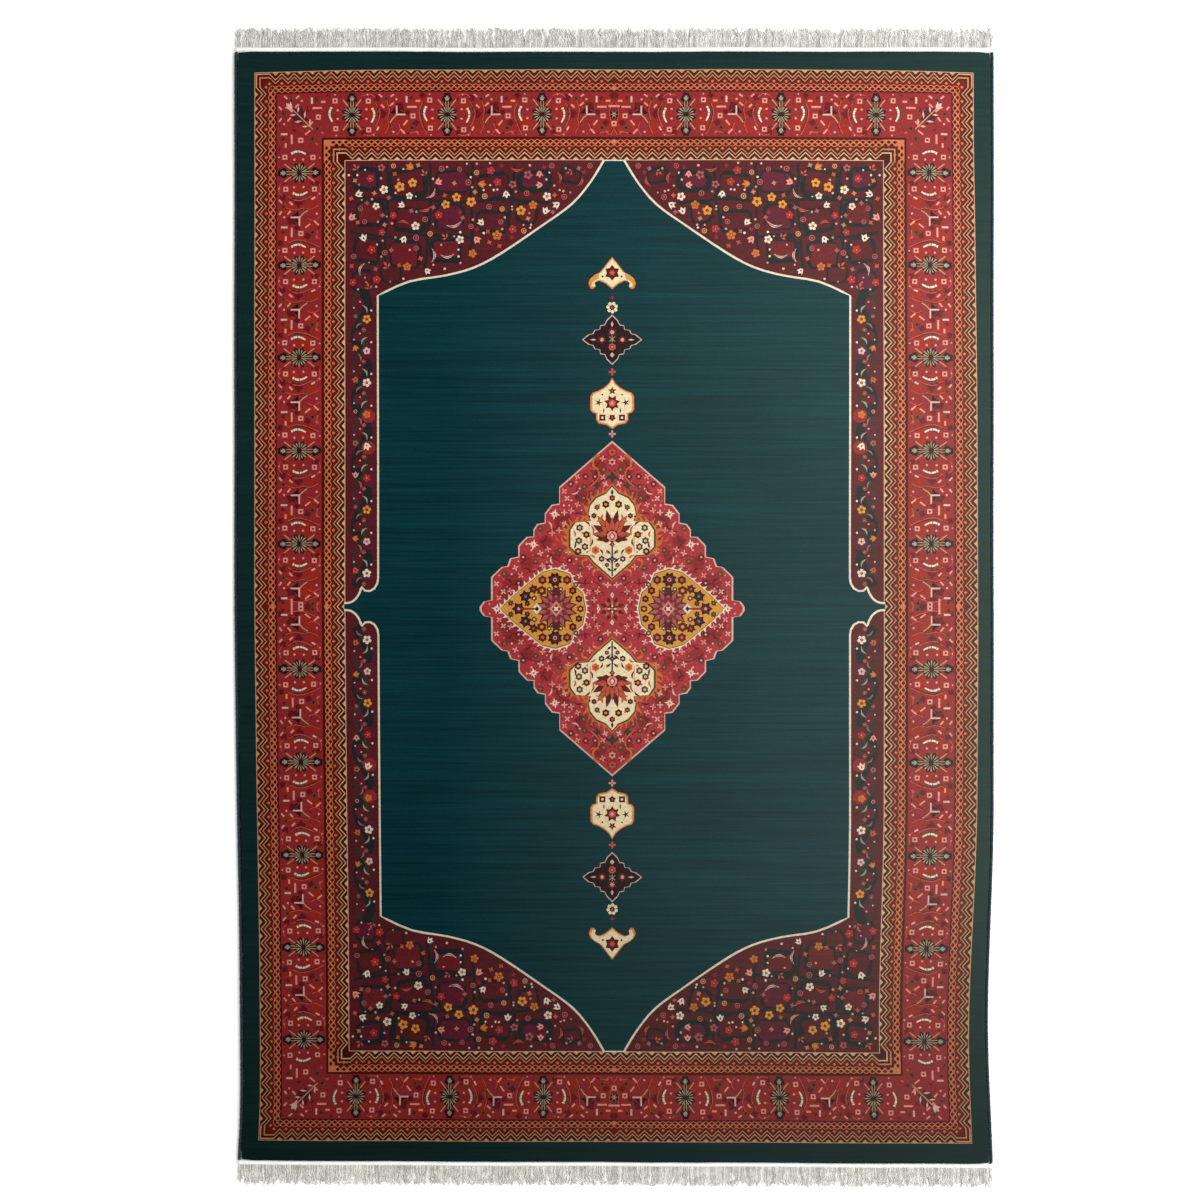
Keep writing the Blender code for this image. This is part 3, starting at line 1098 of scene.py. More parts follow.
def strewMedallion():
    # small flowers, crosslets and leaves filling one quarter of the red, and its reflections
    pick = random.Random(medallion["seed"])
    apart, fromShield = medallion["apart"], medallion["shieldApart"]
    overX, overY = medallion["strewOver"]
    kinds = (  # share, reach
        (0.20, 10, ringFloret("olive", "coral", 8)),
        (0.14, 10, ringFloret("wine", "pink", 8)),
        (0.22, 8, crosslet("pink", "wine", 8, 3.4)),
        (0.12, 8, crosslet("blush", "wine", 8, 3.2)),
        (0.10, 11, quill("coral", 24, 5, 8)),
        (0.08, 11, quill("blush", 24, 4.4, 7)),
        (0.07, 11, quill("wine", 26, 5, 8)),
        (0.07, 10, sprig("wine", "coral")),
    )
    # what layRosettes puts here later
    placed = [(208, 170, 15), (305, 0, 16), (152, 250, 15), (0, 0, 40), (0, 414, 12), (0, 388, 12)]
    placed += [(0, 348, 14), (40, 326, 10), (22, 368, 8)]
    tries = 0
    while len(placed) < medallion["strewn"] and tries < medallion["tries"][0]:
        tries += 1
        x, y = pick.uniform(*overX), pick.uniform(*overY)
        turn = pick.uniform(0, 360)
        reach, motif = drawnKind(pick, kinds)
        gap = reach + apart
        clear = onRed(x, y, gap) and not inShield(x, y, gap + fromShield)
        if clear and hasRoom(placed, x, y, gap):
            placed.append((x, y, reach))
            put(motif, x, y, turn)
    dots = 0
    reach, fromRim, fromShield = medallion["dotClear"]
    while dots < medallion["dots"] and tries < medallion["tries"][1]:
        tries += 1
        x, y = pick.uniform(*overX), pick.uniform(overY[0], medallion["dotsUpTo"])
        yarn = pick.choice(("pink", "coral", "blush", "wine", "wine"))
        clear = all(math.hypot(x - a, y - b) > reach + 0.8 * r for a, b, r in placed)
        if clear and onRed(x, y, fromRim) and not inShield(x, y, fromShield):
            placed.append((x, y, reach))
            dots += 1
            put(bead(yarn, pick.uniform(*medallion["dotRadius"])), x, y)


# Pendants on the rug's middle line, from the medallion's middle: each one's right half, from its
# top down, and its layers from the rim inwards
goldRim = ((-2.6, "walnut"), (-0.8, "gilt"), (1.0, "saffron"), (3.6, "sand"), (5.4, "cream"))
paleRim = ((-1.6, "blush"), (1.8, "ink"))
pendants = (
    (  # shield
        (0, 610), (9, 595), (23, 583), (38, 575), (51, 571), (57, 562), (57, 526), (52, 519), (42, 516),
        (42, 499), (35, 490), (15, 486), (0, 476),
    ),
    (  # quatrefoil
        (0, 776), (14, 762), (20, 750), (31, 748), (33, 738), (46, 736), (50, 727), (62, 724), (78, 711),
        (62, 699), (50, 696), (46, 687), (33, 685), (31, 674), (19, 672), (14, 660), (0, 646),
    ),
    (  # finial
        (0, 929), (12, 915), (22, 901), (32, 889), (46, 882), (58, 872), (62, 860), (57, 847),
        (48, 846), (51, 857), (44, 865), (33, 867), (18, 860), (0, 845),
    ),
)


def layPendants():
    for half, layers in zip(pendants, (goldRim, paleRim, goldRim)):
        for way in (1, -1):
            whole = mirrored([(x, way * y) for x, y in half])
            for inset, yarn in layers:
                layCentred(shrunk(whole, inset), yarn)
    # in the shield
    put([(burst(22, 13, 7, 13), "walnut"), (burst(16, 11, 8, 22), "brick"), (disc(10, 7), "coral")], 0, 544)
    put([(burst(6, 4, 5), "pink")], 0, 544)
    put([(burst(12, 5, 5, 90), "walnut"), (diamond(2.4, 4), "coral")], 0, 576)
    put([(burst(12, 3.4, 5, 180), "walnut"), (disc(2.6, 5), "brick")], 36, 545)
    put([(diamond(2.2, 8), "walnut")], 22, 524)
    put(pane("walnut", "cream", 8, 3), 26, 505)
    put([(burst(10, 7, 5, 270), "walnut"), (diamond(3, 4), "coral")], 0, 505)
    put(bead("walnut", 2.6), 26, 566)
    # in the quatrefoil
    put([(diamond(3.6, 8), "blush")], 0, 752)
    put([(burst(14, 8, 6, 30), "plum"), (burst(7, 4, 6), "pink")], 0, 731)
    put([(burst(12, 8, 6, 30), "brick"), (disc(5.4, 6), "pink")], 27, 711)
    put([(diamond(9, 2.6), "blush")], 50, 711)
    twigs = [swung(box(-10, -1, 10, 1), turn) for turn in (40, -40)]
    put([(outline, "sage") for outline in (box(-1.2, -9, 1.2, 9), *twigs)], 0, 713)
    put([(disc(10, 7), "coral"), (disc(6, 6), "wine"), (disc(3, 5), "pink")], 0, 692)
    put([(diamond(6, 7), "blush")], 0, 671)
    # in the finial
    heart = (burst(8, 5, 6), "coral")
    put([(burst(21, 14, 6, 30), "walnut"), (burst(14, 9, 6, 30), "brick"), heart], 0, 888)
    put(bead("walnut", 3), 25, 878)
    arm = [(34, 886), (47, 880), (57, 870), (60, 860), (56, 850), (53, 860), (44, 869), (36, 871)]
    for side in (1, -1):
        put([([(side * x, y) for x, y in arm], "saffron")], 0, 0)
    # between the pendants
    for y, yarn in ((626, "coral"), (462, "pink")):
        put(crosslet(yarn, "madder", 9, 5.4), 0, y, 45)
    put(daisy("cream", "mauve", reach=11, radius=5.2, count=7), 0, 796)
    put([(burst(9, 5, 4), "plum"), (disc(3, 5), "cherry")], 0, 822)


layBorders()
layCorners()
layFlowers()
layStrips()
layField()
layMedallion()
layPendants()
print("chart drawn:", len(chart), "outlines")


# how the cloth lies, its outline read off the frame
cloth = {
    "thickness": 0.011,
    "ringLow": 0.003,  # height of the outline's widest points
    "halfAcross": 991.7,  # chart size of the pile, to its very edge
    "halfAlong": 1465.0,
    "edgeStep": 34.0,
    "grid": 80.0,
    "gridReach": (15, 23),  # rows of points each way from the middle
    "gridMargin": 20,
    "leastArea": 0.5,
    "longest": 90.0,
    "topBow": 8.5,  # how far the far end's stripes lie short at its two corners
    "rightBulge": 11.0,  # and how far the right border swells halfway along
    "bulgeFades": 1200.0,  # that far from the middle it has gone
    "drawnIn": 0.0032,  # share by which the figured part lies smaller than its chart
    "slip": 0.00325,  # and how far toward the far end, in metres
    "fieldSide": 622.0,
    "sideFrom": 0.93,  # metres out, past which a point of the outline is on a side
    "endFrom": 1.44,
    "swell": 0.0005,
    "swellScale": 3.1,
    "fuzz": 0.7,
    "fuzzAbout": 1200,  # as far from the middle as most of the edge is
    "fuzzScales": ((0.045, 3.0, 1.0), (0.2, 7.0, 0.6)),  # scale, where in the noise, share
    # how far in from the edge and down from the top each ring of the rim runs
    "rounding": ((3.4, 0.0), (1.3, 0.8), (0.3, 2.4), (0.0, 5.0), (0.4, 10.2), (2.2, 11.0)),
    "straightBelow": 9,  # rings further down than this aren't fuzzed
    "woolRings": 4,  # the backing shows below them
}


def outlineOf(node, height):
    points = [v.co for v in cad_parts[node].data.vertices if abs(v.co.z - height) < 1e-4]
    return sorted({(round(p.x, 6), round(p.y, 6)) for p in points})


rim = outlineOf("pile_cloth", cloth["ringLow"])
sideProfiles = {}
endProfiles = {}
for way in (-1, 1):
    side = sorted((y, x) for x, y in rim if x * way > cloth["sideFrom"])
    end = sorted((x, y) for x, y in rim if y * way > cloth["endFrom"])
    sideProfiles[way] = np.array(side).T
    endProfiles[way] = np.array(end).T


def onCloth(x, y):
    # chart millimetres to metres on the cloth, as its stripes wander and its edges draw in
    guardX, guardY = lines["outerGuard"]
    edgeAcross, edgeAlong = cloth["halfAcross"], cloth["halfAlong"]
    if y > 0:
        fade = y / guardY if y < guardY else (edgeAlong - y) / (edgeAlong - guardY)
        y -= cloth["topBow"] * (abs(x) / guardX) ** 4 * fade
    if x > cloth["fieldSide"]:
        within = (x - cloth["fieldSide"]) / (guardX - cloth["fieldSide"])
        beyond = (edgeAcross - x) / (edgeAcross - guardX)
        x += cloth["rightBulge"] * min(within, beyond) * max(0.0, 1.0 - (y / cloth["bulgeFades"]) ** 2)
    edgeX = abs(np.interp(y * mm, *sideProfiles[1 if x > 0 else -1]))
    edgeY = abs(np.interp(x * mm, *endProfiles[1 if y > 0 else -1]))
    marginX = (abs(x) - guardX) / (edgeAcross - guardX)
    marginY = (abs(y) - guardY) / (edgeAlong - guardY)
    hold = 1.0 - min(max(marginX, marginY, 0.0), 1.0)
    share = 1.0 - cloth["drawnIn"] * hold
    return x * edgeX / edgeAcross * share, y * edgeY / edgeAlong * share + cloth["slip"] * hold


def swell(x, y):
    # a slow rise and fall, in metres
    scale = cloth["swellScale"]
    return cloth["swell"] * noise.noise(Vector((x * scale, y * scale, 0.4)))


def divided(start, end, count):
    # even steps from one point towards the next, which is left to the stretch after
    (ax, ay), (bx, by) = start, end
    return [(ax + (bx - ax) * k / count, ay + (by - ay) * k / count) for k in range(count)]


def ringPoints(inset):
    # round the pile's edge, from its near left corner, with as many points on every ring
    halfX, halfY = cloth["halfAcross"] - inset, cloth["halfAlong"] - inset
    counts = [round(2 * cloth[half] / cloth["edgeStep"]) for half in ("halfAcross", "halfAlong")]
    points = []
    for side, (start, end) in enumerate(closed(box(-halfX, -halfY, halfX, halfY))):
        points += divided(start, end, counts[side % 2])
    return points


def fuzzed(points, amount):
    # an edge as uneven as tufts leave it
    moved = []
    for x, y in points:
        n = 0.0
        for scale, at, share in cloth["fuzzScales"]:
            n += share * noise.noise(Vector((x * scale, y * scale, at)))
        grow = 1.0 + amount * n / cloth["fuzzAbout"]
        moved.append((x * grow, y * grow))
    return moved


def signedArea(outline):
    # positive where the outline runs anticlockwise
    return 0.5 * sum(ax * by - bx * ay for (ax, ay), (bx, by) in closed(outline))


def shortened(outline):
    # no stretch longer than the cloth can bend
    steps = []
    for start, end in closed(outline):
        steps += divided(start, end, max(math.ceil(math.dist(start, end) / cloth["longest"]), 1))
    return steps


def gridPoints():
    # spread over the whole cloth, so that plain parts bend too, and off every outline
    grid = cloth["grid"]
    margin = cloth["gridMargin"]
    acrossReach, alongReach = cloth["gridReach"]
    points = []
    for i in range(-acrossReach, acrossReach + 1):
        for j in range(-alongReach, alongReach + 1):
            x = i * grid + (grid / 2 if j % 2 else 0) + 0.3
            y = j * grid + 0.2
            if abs(x) < cloth["halfAcross"] - margin and abs(y) < cloth["halfAlong"] - margin:
                points.append((x, y))
    return points


def makeFace():
    # the whole chart cut into triangles, each taking its topmost yarn
    edge = fuzzed(ringPoints(cloth["rounding"][0][0]), cloth["fuzz"])
    points = list(edge)
    faces = [list(range(len(edge)))]
    yarns = ["fir"]
    for outline, yarn in chart:
        cleaned = dropRepeats([(round(2 * x) / 2, round(2 * y) / 2) for x, y in outline])
        if len(cleaned) > 2 and cleaned[0] == cleaned[-1]:
            cleaned = cleaned[:-1]
        turned = signedArea(cleaned)
        if len(cleaned) < 3 or abs(turned) < cloth["leastArea"]:
            continue
        cleaned = shortened(cleaned if turned > 0 else cleaned[::-1])
        faces.append(list(range(len(points), len(points) + len(cleaned))))
        points += cleaned
        yarns.append(yarn)
    flat = [Vector(p) for p in points + gridPoints()]
    onlyInside, closeEnough = 1, 1e-4
    cut = geometry.delaunay_2d_cdt(flat, [], faces, onlyInside, closeEnough)
    verts, _, cells, _, _, owners = cut
    return edge, verts, cells, [yarns[max(o)] if o else "fir" for o in owners]


# The pile's own map, for the export: the top, and above it strips for the side and the underside
pileMap = {
    "span": (2.02, 2.96),  # metres of cloth
    "top": 0.955,
    "strip": (0.965, 0.998),
    "side": (0.51, 0.485),  # where each strip starts, and its length
    "under": (0.005, 0.48),
}


def mapped(spot, corner, x, y, count):
    across, along = 0.5 + x / pileMap["span"][0], 0.5 + y / pileMap["span"][1]
    low, high = pileMap["strip"]
    if spot == "top":
        return across, along * pileMap["top"]
    if spot == "under":
        start, length = pileMap["under"]
        return start + length * across, low + (high - low) * along
    index, level = spot
    start, length = pileMap["side"]
    u = (index + (corner > 1)) / count
    v = (level + (corner in (1, 2))) / (len(cloth["rounding"]) - 1)
    return start + length * u, high - v * (high - low)


def addObject(name, data):
    made = bpy.data.objects.new(name, data)
    bpy.context.scene.collection.objects.link(made)
    return made


def buildPile():
    edge, flat, cells, yarns = makeFace()
    top, lowest = cloth["thickness"], cloth["rounding"][-1][1]
    points = []
    for v in flat:
        x, y = onCloth(v.x, v.y)
        points.append((x, y, top + swell(x, y)))
    # the rim, ring by ring: over the shoulder, down the side and in under the edge
    start = {(round(v.x, 3), round(v.y, 3)): i for i, v in enumerate(flat)}
    rings = [[start[(round(x, 3), round(y, 3))] for x, y in (Vector(p) for p in edge)]]
    for inset, drop in cloth["rounding"][1:]:
        ring = []
        for x, y in fuzzed(ringPoints(inset), cloth["fuzz"] if drop < cloth["straightBelow"] else 0):
            px, py = onCloth(x, y)
            height = 0.0 if drop == lowest else max(top + swell(px, py) - drop * mm, 0.0)
            ring.append(len(points))
            points.append((px, py, height))
        rings.append(ring)
    count = len(edge)
    # corners, yarn and place in the map
    faces = [(list(cell), yarn, "top") for cell, yarn in zip(cells, yarns)]
    for level, (upper, lower) in enumerate(zip(rings, rings[1:])):
        yarn = "fir" if level < cloth["woolRings"] else "jute"
        for i in range(count):
            j = (i + 1) % count
            faces.append(([upper[i], lower[i], lower[j], upper[j]], yarn, (i, level)))
    faces.append((rings[-1][::-1], "jute", "under"))

    mesh = bpy.data.meshes.new("pile_face")
    mesh.from_pydata(points, [], [corners for corners, _, _ in faces])
    bm = bmesh.new()
    bm.from_mesh(mesh)
    paint = bm.loops.layers.float_color.new("yarn")
    unwrap = bm.loops.layers.uv.new("OFBake")
    bm.faces.ensure_lookup_table()
    if bm.faces[0].normal.z < 0:
        for face in bm.faces[: len(cells)]:
            face.normal_flip()
    tint = {name: (*linear(dye), streaky) for name, (dye, streaky) in dyes.items()}
    for face, (_, yarn, spot) in zip(bm.faces, faces):
        face.smooth = isinstance(spot, tuple)
        for k, loop in enumerate(face.loops):
            loop[paint] = tint[yarn]
            loop[unwrap].uv = mapped(spot, k, loop.vert.co.x, loop.vert.co.y, count)
    bm.normal_update()
    # the underside is one face of many corners
    bmesh.ops.triangulate(bm, faces=[f for f in bm.faces if len(f.verts) > 4])
    bm.to_mesh(mesh)
    bm.free()
    return addObject("pile_face", mesh)


def newMaterial(name, roughness, sheen, sheenRoughness=0.5, sheenTint=(1.0, 1.0, 1.0), gloss=0.07):
    material = bpy.data.materials.new(name)
    material.use_nodes = True
    shader = material.node_tree.nodes["Principled BSDF"]
    for label, value in (
        ("Roughness", roughness),
        ("Specular IOR Level", gloss),
        ("Sheen Weight", sheen),
        ("Sheen Roughness", sheenRoughness),
        ("Sheen Tint", (*sheenTint, 1.0)),
    ):
        shader.inputs[label].default_value = value
    return material, material.node_tree, shader


def feed(tree, socket, value):
    # a link from another node's output, or a plain value
    if isinstance(value, bpy.types.NodeSocket):
        tree.links.new(value, socket)
    else:
        socket.default_value = value


def add(tree, kind, inputs=None, output=0, **settings):
    # a new node: gives back one of its outputs, or all of them for None
    made = tree.nodes.new(kind)
    for key, value in settings.items():
        setattr(made, key, value)
    for key, value in (inputs or {}).items():
        feed(tree, made.inputs[key], value)
    return made.outputs if output is None else made.outputs[output]


def maths(tree, operation, *values):
    return add(tree, "ShaderNodeMath", dict(enumerate(values)), operation=operation)


def vectors(tree, operation, *values):
    return add(tree, "ShaderNodeVectorMath", dict(enumerate(values)), operation=operation)


def stretchedNoise(tree, place, scale, detail, roughness=0.55):
    # noise over the cloth, stretched by an amount of its own each way
    mapping = add(tree, "ShaderNodeMapping", {"Vector": place, "Scale": scale})
    settings = {"Vector": mapping, "Scale": 1.0, "Detail": detail, "Roughness": roughness}
    return add(tree, "ShaderNodeTexNoise", settings, "Fac")


def remap(tree, value, low, high, toLow, toHigh):
    ends = {"From Min": low, "From Max": high, "To Min": toLow, "To Max": toHigh}
    return add(tree, "ShaderNodeMapRange", {"Value": value, **ends}, clamp=True)


def spread(tree, noise, low, high):
    # noise mostly lies between 0.3 and 0.7
    return remap(tree, noise, 0.3, 0.7, low, high)


def scaled(tree, color, factor):
    return add(tree, "ShaderNodeVectorMath", {0: color, "Scale": factor}, operation="SCALE")


def bumped(tree, shader, height, strength, distance):
    bump = add(tree, "ShaderNodeBump", {"Height": height, "Strength": strength, "Distance": distance})
    feed(tree, shader.inputs["Normal"], bump)


pileLook = {
    "roughness": 0.9,
    "sheen": 0.012,
    "sheenTint": (0.9, 0.95, 1.0),
    "gloss": 0.02,
    "depth": 0.69,  # how much light the wool gives back
    "nearPaintedShade": 0.54,  # painted shade: what share of that by its near end
    "sidePaintedLight": (0.92, 1.14),  # painted shade on its left side and painted light on its right
    "paintedSheen": (0.0215, 0.0245, 0.020),  # painted sheen added along its right side, where the light glances off the pile
    "endPaintedSheen": 0.45,  # and what share of that at its ends
    "heather": 200.0,
    "mottle": (1.15, 0.25),  # in the figured parts and in the plain ones
    # noises: scale each way, detail, roughness
    "streaks": ((2.6, 170.0, 1.0), 4.0, 0.65),
    "broadStreaks": ((0.8, 30.0, 1.0), 3.0, 0.6),
    "knots": ((420.0, 420.0, 420.0), 2.0),
    "patches": ((3.2, 3.2, 3.2), 2.0),
    "ribs": ((60.0, 330.0, 60.0), 1.0),
    # how far each moves the tone
    "streakTone": (-0.34, 0.34),
    "broadTone": (-0.16, 0.16),
    "knotTone": (0.84, 1.16),
    "patchTone": (0.92, 1.08),
    "bump": (0.5, 0.0012),  # strength, metres
    # metres from the middle between which each of these comes in
    # the painted shade along and across, then the painted sheen and where it fades at the ends
    "leanOver": (-1.4, 1.1),
    "sideLightOver": (-0.9, 0.9),
    "paintedSheenOver": (-0.45, 1.0),
    "sheenEndsOver": (0.7, 1.45),
    "plainOver": (0.36, 0.6),  # how streaky a yarn is, from figured to plain
}


def pileWool():
    look = pileLook
    material, tree, shader = newMaterial(
        "cut_pile", look["roughness"], look["sheen"], sheenTint=look["sheenTint"], gloss=look["gloss"]
    )
    place = add(tree, "ShaderNodeTexCoord", output="Object")
    yarn = add(tree, "ShaderNodeAttribute", output=None, attribute_name="yarn")
    where = add(tree, "ShaderNodeSeparateXYZ", {0: place}, None)
    streaks = stretchedNoise(tree, place, *look["streaks"])
    broad = stretchedNoise(tree, place, *look["broadStreaks"])
    knots = stretchedNoise(tree, place, *look["knots"])
    patches = stretchedNoise(tree, place, *look["patches"])
    # abrash: the dye lots show as lines of lighter and darker rows
    lots = maths(
        tree, "ADD", spread(tree, streaks, *look["streakTone"]), spread(tree, broad, *look["broadTone"])
    )
    factor = maths(tree, "ADD", maths(tree, "MULTIPLY", lots, yarn["Alpha"]), 1.0)
    factor = maths(tree, "MULTIPLY", factor, spread(tree, knots, *look["knotTone"]))
    factor = maths(tree, "MULTIPLY", factor, spread(tree, patches, *look["patchTone"]))
    # painted shade: the near end and the left are darkened and the right lightened, as the light falls on
    # it
    far = look["depth"]
    lean = remap(tree, where["Y"], *look["leanOver"], far * look["nearPaintedShade"], far)
    sides = remap(tree, where["X"], *look["sideLightOver"], *look["sidePaintedLight"])
    factor = maths(tree, "MULTIPLY", factor, maths(tree, "MULTIPLY", lean, sides))
    # each knot takes the dye its own way, more so where the colours change
    heather = add(
        tree,
        "ShaderNodeTexNoise",
        {"Vector": place, "Scale": look["heather"], "Detail": 2.0, "Roughness": 0.6},
        "Color",
    )
    centred = vectors(tree, "SUBTRACT", heather, (0.5, 0.5, 0.5))
    mottle = scaled(tree, centred, remap(tree, yarn["Alpha"], *look["plainOver"], *look["mottle"]))
    around = vectors(tree, "ADD", mottle, (1.0, 1.0, 1.0))
    dyed = scaled(tree, vectors(tree, "MULTIPLY", yarn["Color"], around), factor)
    # painted sheen: a pale veil added towards the right, less at the ends
    paintedSheen = add(tree, "ShaderNodeCombineXYZ", dict(zip("XYZ", look["paintedSheen"])))
    away = maths(tree, "ABSOLUTE", where["Y"])
    paintedSheenShare = remap(tree, where["X"], *look["paintedSheenOver"], 0.0, 1.0)
    ends = remap(tree, away, *look["sheenEndsOver"], 1.0, look["endPaintedSheen"])
    paintedSheenShare = maths(tree, "MULTIPLY", paintedSheenShare, ends)
    mixed = vectors(tree, "ADD", dyed, scaled(tree, paintedSheen, paintedSheenShare))
    feed(tree, shader.inputs["Base Color"], mixed)
    # nap: knots with a faint rib along each row
    ribs = stretchedNoise(tree, place, *look["ribs"])
    bumped(tree, shader, maths(tree, "ADD", knots, ribs), *look["bump"])
    return material


pile = buildPile()
pile.data.materials.append(pileWool())
triangles = sum(len(p.vertices) - 2 for p in pile.data.polygons)
print("pile face:", len(pile.data.vertices), "points,", triangles, "triangles")


def pathObject(name, points):
    # a chain of edges for a node tree to follow
    mesh = bpy.data.meshes.new(name)
    mesh.from_pydata(points, [(i, i + 1) for i in range(len(points) - 1)], [])
    return addObject(name, mesh)


def newNodes(name, sizes):
    # a node group with one named input for each size
    group = bpy.data.node_groups.new(name, "GeometryNodeTree")
    group.interface.new_socket("Geometry", in_out="INPUT", socket_type="NodeSocketGeometry")
    for label, value in sizes.items():
        kind = "NodeSocketInt" if isinstance(value, int) else "NodeSocketFloat"
        group.interface.new_socket(label, in_out="INPUT", socket_type=kind)
    group.interface.new_socket("Yarn", in_out="INPUT", socket_type="NodeSocketMaterial")
    group.interface.new_socket("Geometry", in_out="OUTPUT", socket_type="NodeSocketGeometry")
    given, result = group.nodes.new("NodeGroupInput"), group.nodes.new("NodeGroupOutput")
    return group, given.outputs, result.inputs["Geometry"]


def randomly(tree, low, high, seed):
    # between two numbers, a different one for each point
    made = tree.nodes.new("FunctionNodeRandomValue")
    made.data_type = "FLOAT"
    for key, value in ((2, low), (3, high), ("Seed", seed)):
        made.inputs[key].default_value = value
    return made.outputs[1]


def turnedBy(tree, angle):
    # a turn about the upright axis
    return add(tree, "FunctionNodeEulerToRotation", {0: add(tree, "ShaderNodeCombineXYZ", {"Z": angle})})


def finishNodes(tree, geometryOut, given, result):
    real = add(tree, "GeometryNodeRealizeInstances", {"Geometry": geometryOut})
    smooth = add(tree, "GeometryNodeSetShadeSmooth", {"Geometry": real})
    finish = add(tree, "GeometryNodeSetMaterial", {"Geometry": smooth, "Material": given["Yarn"]})
    feed(tree, result, finish)


def grown(base, group, sizes, yarn):
    # runs the tree on the base object and keeps the result as a plain mesh
    modifier = base.modifiers.new("grow", "NODES")
    modifier.node_group = group
    given = {**sizes, "Yarn": yarn}
    for item in group.interface.items_tree:
        if item.item_type == "SOCKET" and item.in_out == "INPUT" and item.name in given:
            modifier[item.identifier] = given[item.name]
    graph = bpy.context.evaluated_depsgraph_get()
    mesh = bpy.data.meshes.new_from_object(base.evaluated_get(graph))
    name, old = base.name, base.data
    bpy.data.objects.remove(base)
    bpy.data.meshes.remove(old)
    mesh.name = name
    return addObject(name, mesh)


# Overcast edges: yarn wound over and over down each side
overcast = {
    "widest": 0.0028,  # height of the outline's widest points
    "halfWidth": 0.0034,
    "endInset": 0.0016,
    "sizes": {
        "Pitch": 0.0026,
        "Half Width": 0.0036,
        "Half Height": 0.0030,
        "Yarn Radius": 0.00145,
        "Slant": 0.30,
        "Wobble": 0.16,
    },
    "lift": 0.00448,
    "sections": 9,
    "yarnSides": 4,
    "step": 0.012,
    "turnSize": (0.93, 1.05),
    "wool": {"dye": (22, 46, 50), "roughness": 0.85, "variation": 0.18, "twist": 1500.0},
}


def windingNodes():
    tree, given, result = newNodes("overcast winding", overcast["sizes"])
    path = add(tree, "GeometryNodeMeshToCurve", {"Mesh": given["Geometry"]})
    length = {"Curve": path, "Length": given["Pitch"]}
    spaced = add(tree, "GeometryNodeResampleCurve", length, mode="LENGTH")
    # one turn of yarn, lying across the path and then set upright: X across, Y up
    ring = add(
        tree, "GeometryNodeCurvePrimitiveCircle", {"Resolution": overcast["sections"], "Radius": 1.0}
    )
    size = add(
        tree, "ShaderNodeCombineXYZ", {"X": given["Half Width"], "Y": given["Half Height"], "Z": 1.0}
    )
    shaped = add(tree, "GeometryNodeTransform", {"Geometry": ring, "Scale": size})
    yarn = add(
        tree,
        "GeometryNodeCurvePrimitiveCircle",
        {"Resolution": overcast["yarnSides"], "Radius": given["Yarn Radius"]},
    )
    tube = add(tree, "GeometryNodeCurveToMesh", {"Curve": shaped, "Profile Curve": yarn})
    upright = add(tree, "GeometryNodeTransform", {"Geometry": tube, "Rotation": (math.pi / 2, 0.0, 0.0)})
    # slanted along the edge, each a little its own way
    wobble = maths(tree, "MULTIPLY", given["Wobble"], randomly(tree, -1.0, 1.0, seed=5))
    slant = maths(tree, "ADD", given["Slant"], wobble)
    turns = {
        "Points": spaced,
        "Instance": upright,
        "Rotation": turnedBy(tree, slant),
        "Scale": randomly(tree, *overcast["turnSize"], seed=9),
    }
    finishNodes(tree, add(tree, "GeometryNodeInstanceOnPoints", turns), given, result)
    return tree


spun = {
    "sheen": (0.25, 0.4),  # how much, and how rough
    "slubs": ((60.0, 60.0, 60.0), 3.0),
    "fibreDetail": 2.0,
    "fibreTone": (0.9, 1.1),
    "clearAbove": 0.8,  # share of the height from which a strand is in full light
    "bump": (0.4, 0.0004),
}


def yarnMaterial(name, dye, roughness, variation, twist, lowest=None):
    # spun yarn: uneven dye along it and a fine twist, and painted shade low down among its neighbours
    material, tree, shader = newMaterial(name, roughness, *spun["sheen"])
    place = add(tree, "ShaderNodeTexCoord", output="Object")
    slubs = stretchedNoise(tree, place, *spun["slubs"])
    fibres = stretchedNoise(tree, place, (twist, twist, twist), spun["fibreDetail"])
    shade = spread(tree, slubs, 1.0 - variation, 1.0 + variation)
    shade = maths(tree, "MULTIPLY", shade, spread(tree, fibres, *spun["fibreTone"]))
    # painted shade: strands lying low are darkened, as if shaded by those above
    if lowest:
        height = add(tree, "ShaderNodeAttribute", output="Fac", attribute_name="height")
        light = remap(tree, height, 0.0, spun["clearAbove"], lowest, 1.0)
        shade = maths(tree, "MULTIPLY", shade, light)
    dyeWith(tree, shader, dye, shade)
    bumped(tree, shader, fibres, *spun["bump"])
    return material


def dyeWith(tree, shader, dye, shade):
    # one colour, lighter and darker as the shade says
    dyed = tree.nodes.new("ShaderNodeRGB").outputs[0]
    dyed.default_value = (*linear(dye), 1.0)
    feed(tree, shader.inputs["Base Color"], scaled(tree, dyed, shade))


def makeOvercast():
    tree = windingNodes()
    wool = yarnMaterial("overcast_wool", **overcast["wool"])
    made = {}
    for side, way in (("left", -1), ("right", 1)):
        outer = {}
        for x, y in outlineOf(f"overcast_edge_{side}", overcast["widest"]):
            key = round(y, 3)
            outer[key] = max(outer.get(key, 0.0), abs(x))
        ys = np.array(sorted(outer))
        xs = np.array([outer[y] for y in ys]) - overcast["halfWidth"]
        low, high = ys[0] + overcast["endInset"], ys[-1] - overcast["endInset"]
        stops = np.linspace(low, high, int((ys[-1] - ys[0]) / overcast["step"]))
        path = [(way * float(np.interp(y, ys, xs)), float(y), overcast["lift"]) for y in stops]
        base = pathObject(f"overcast_winding_{side}", path)
        made[side] = grown(base, tree, overcast["sizes"], wool)
    return made


windings = makeOvercast()
print("overcast edges wound:", {k: len(o.data.polygons) for k, o in windings.items()})


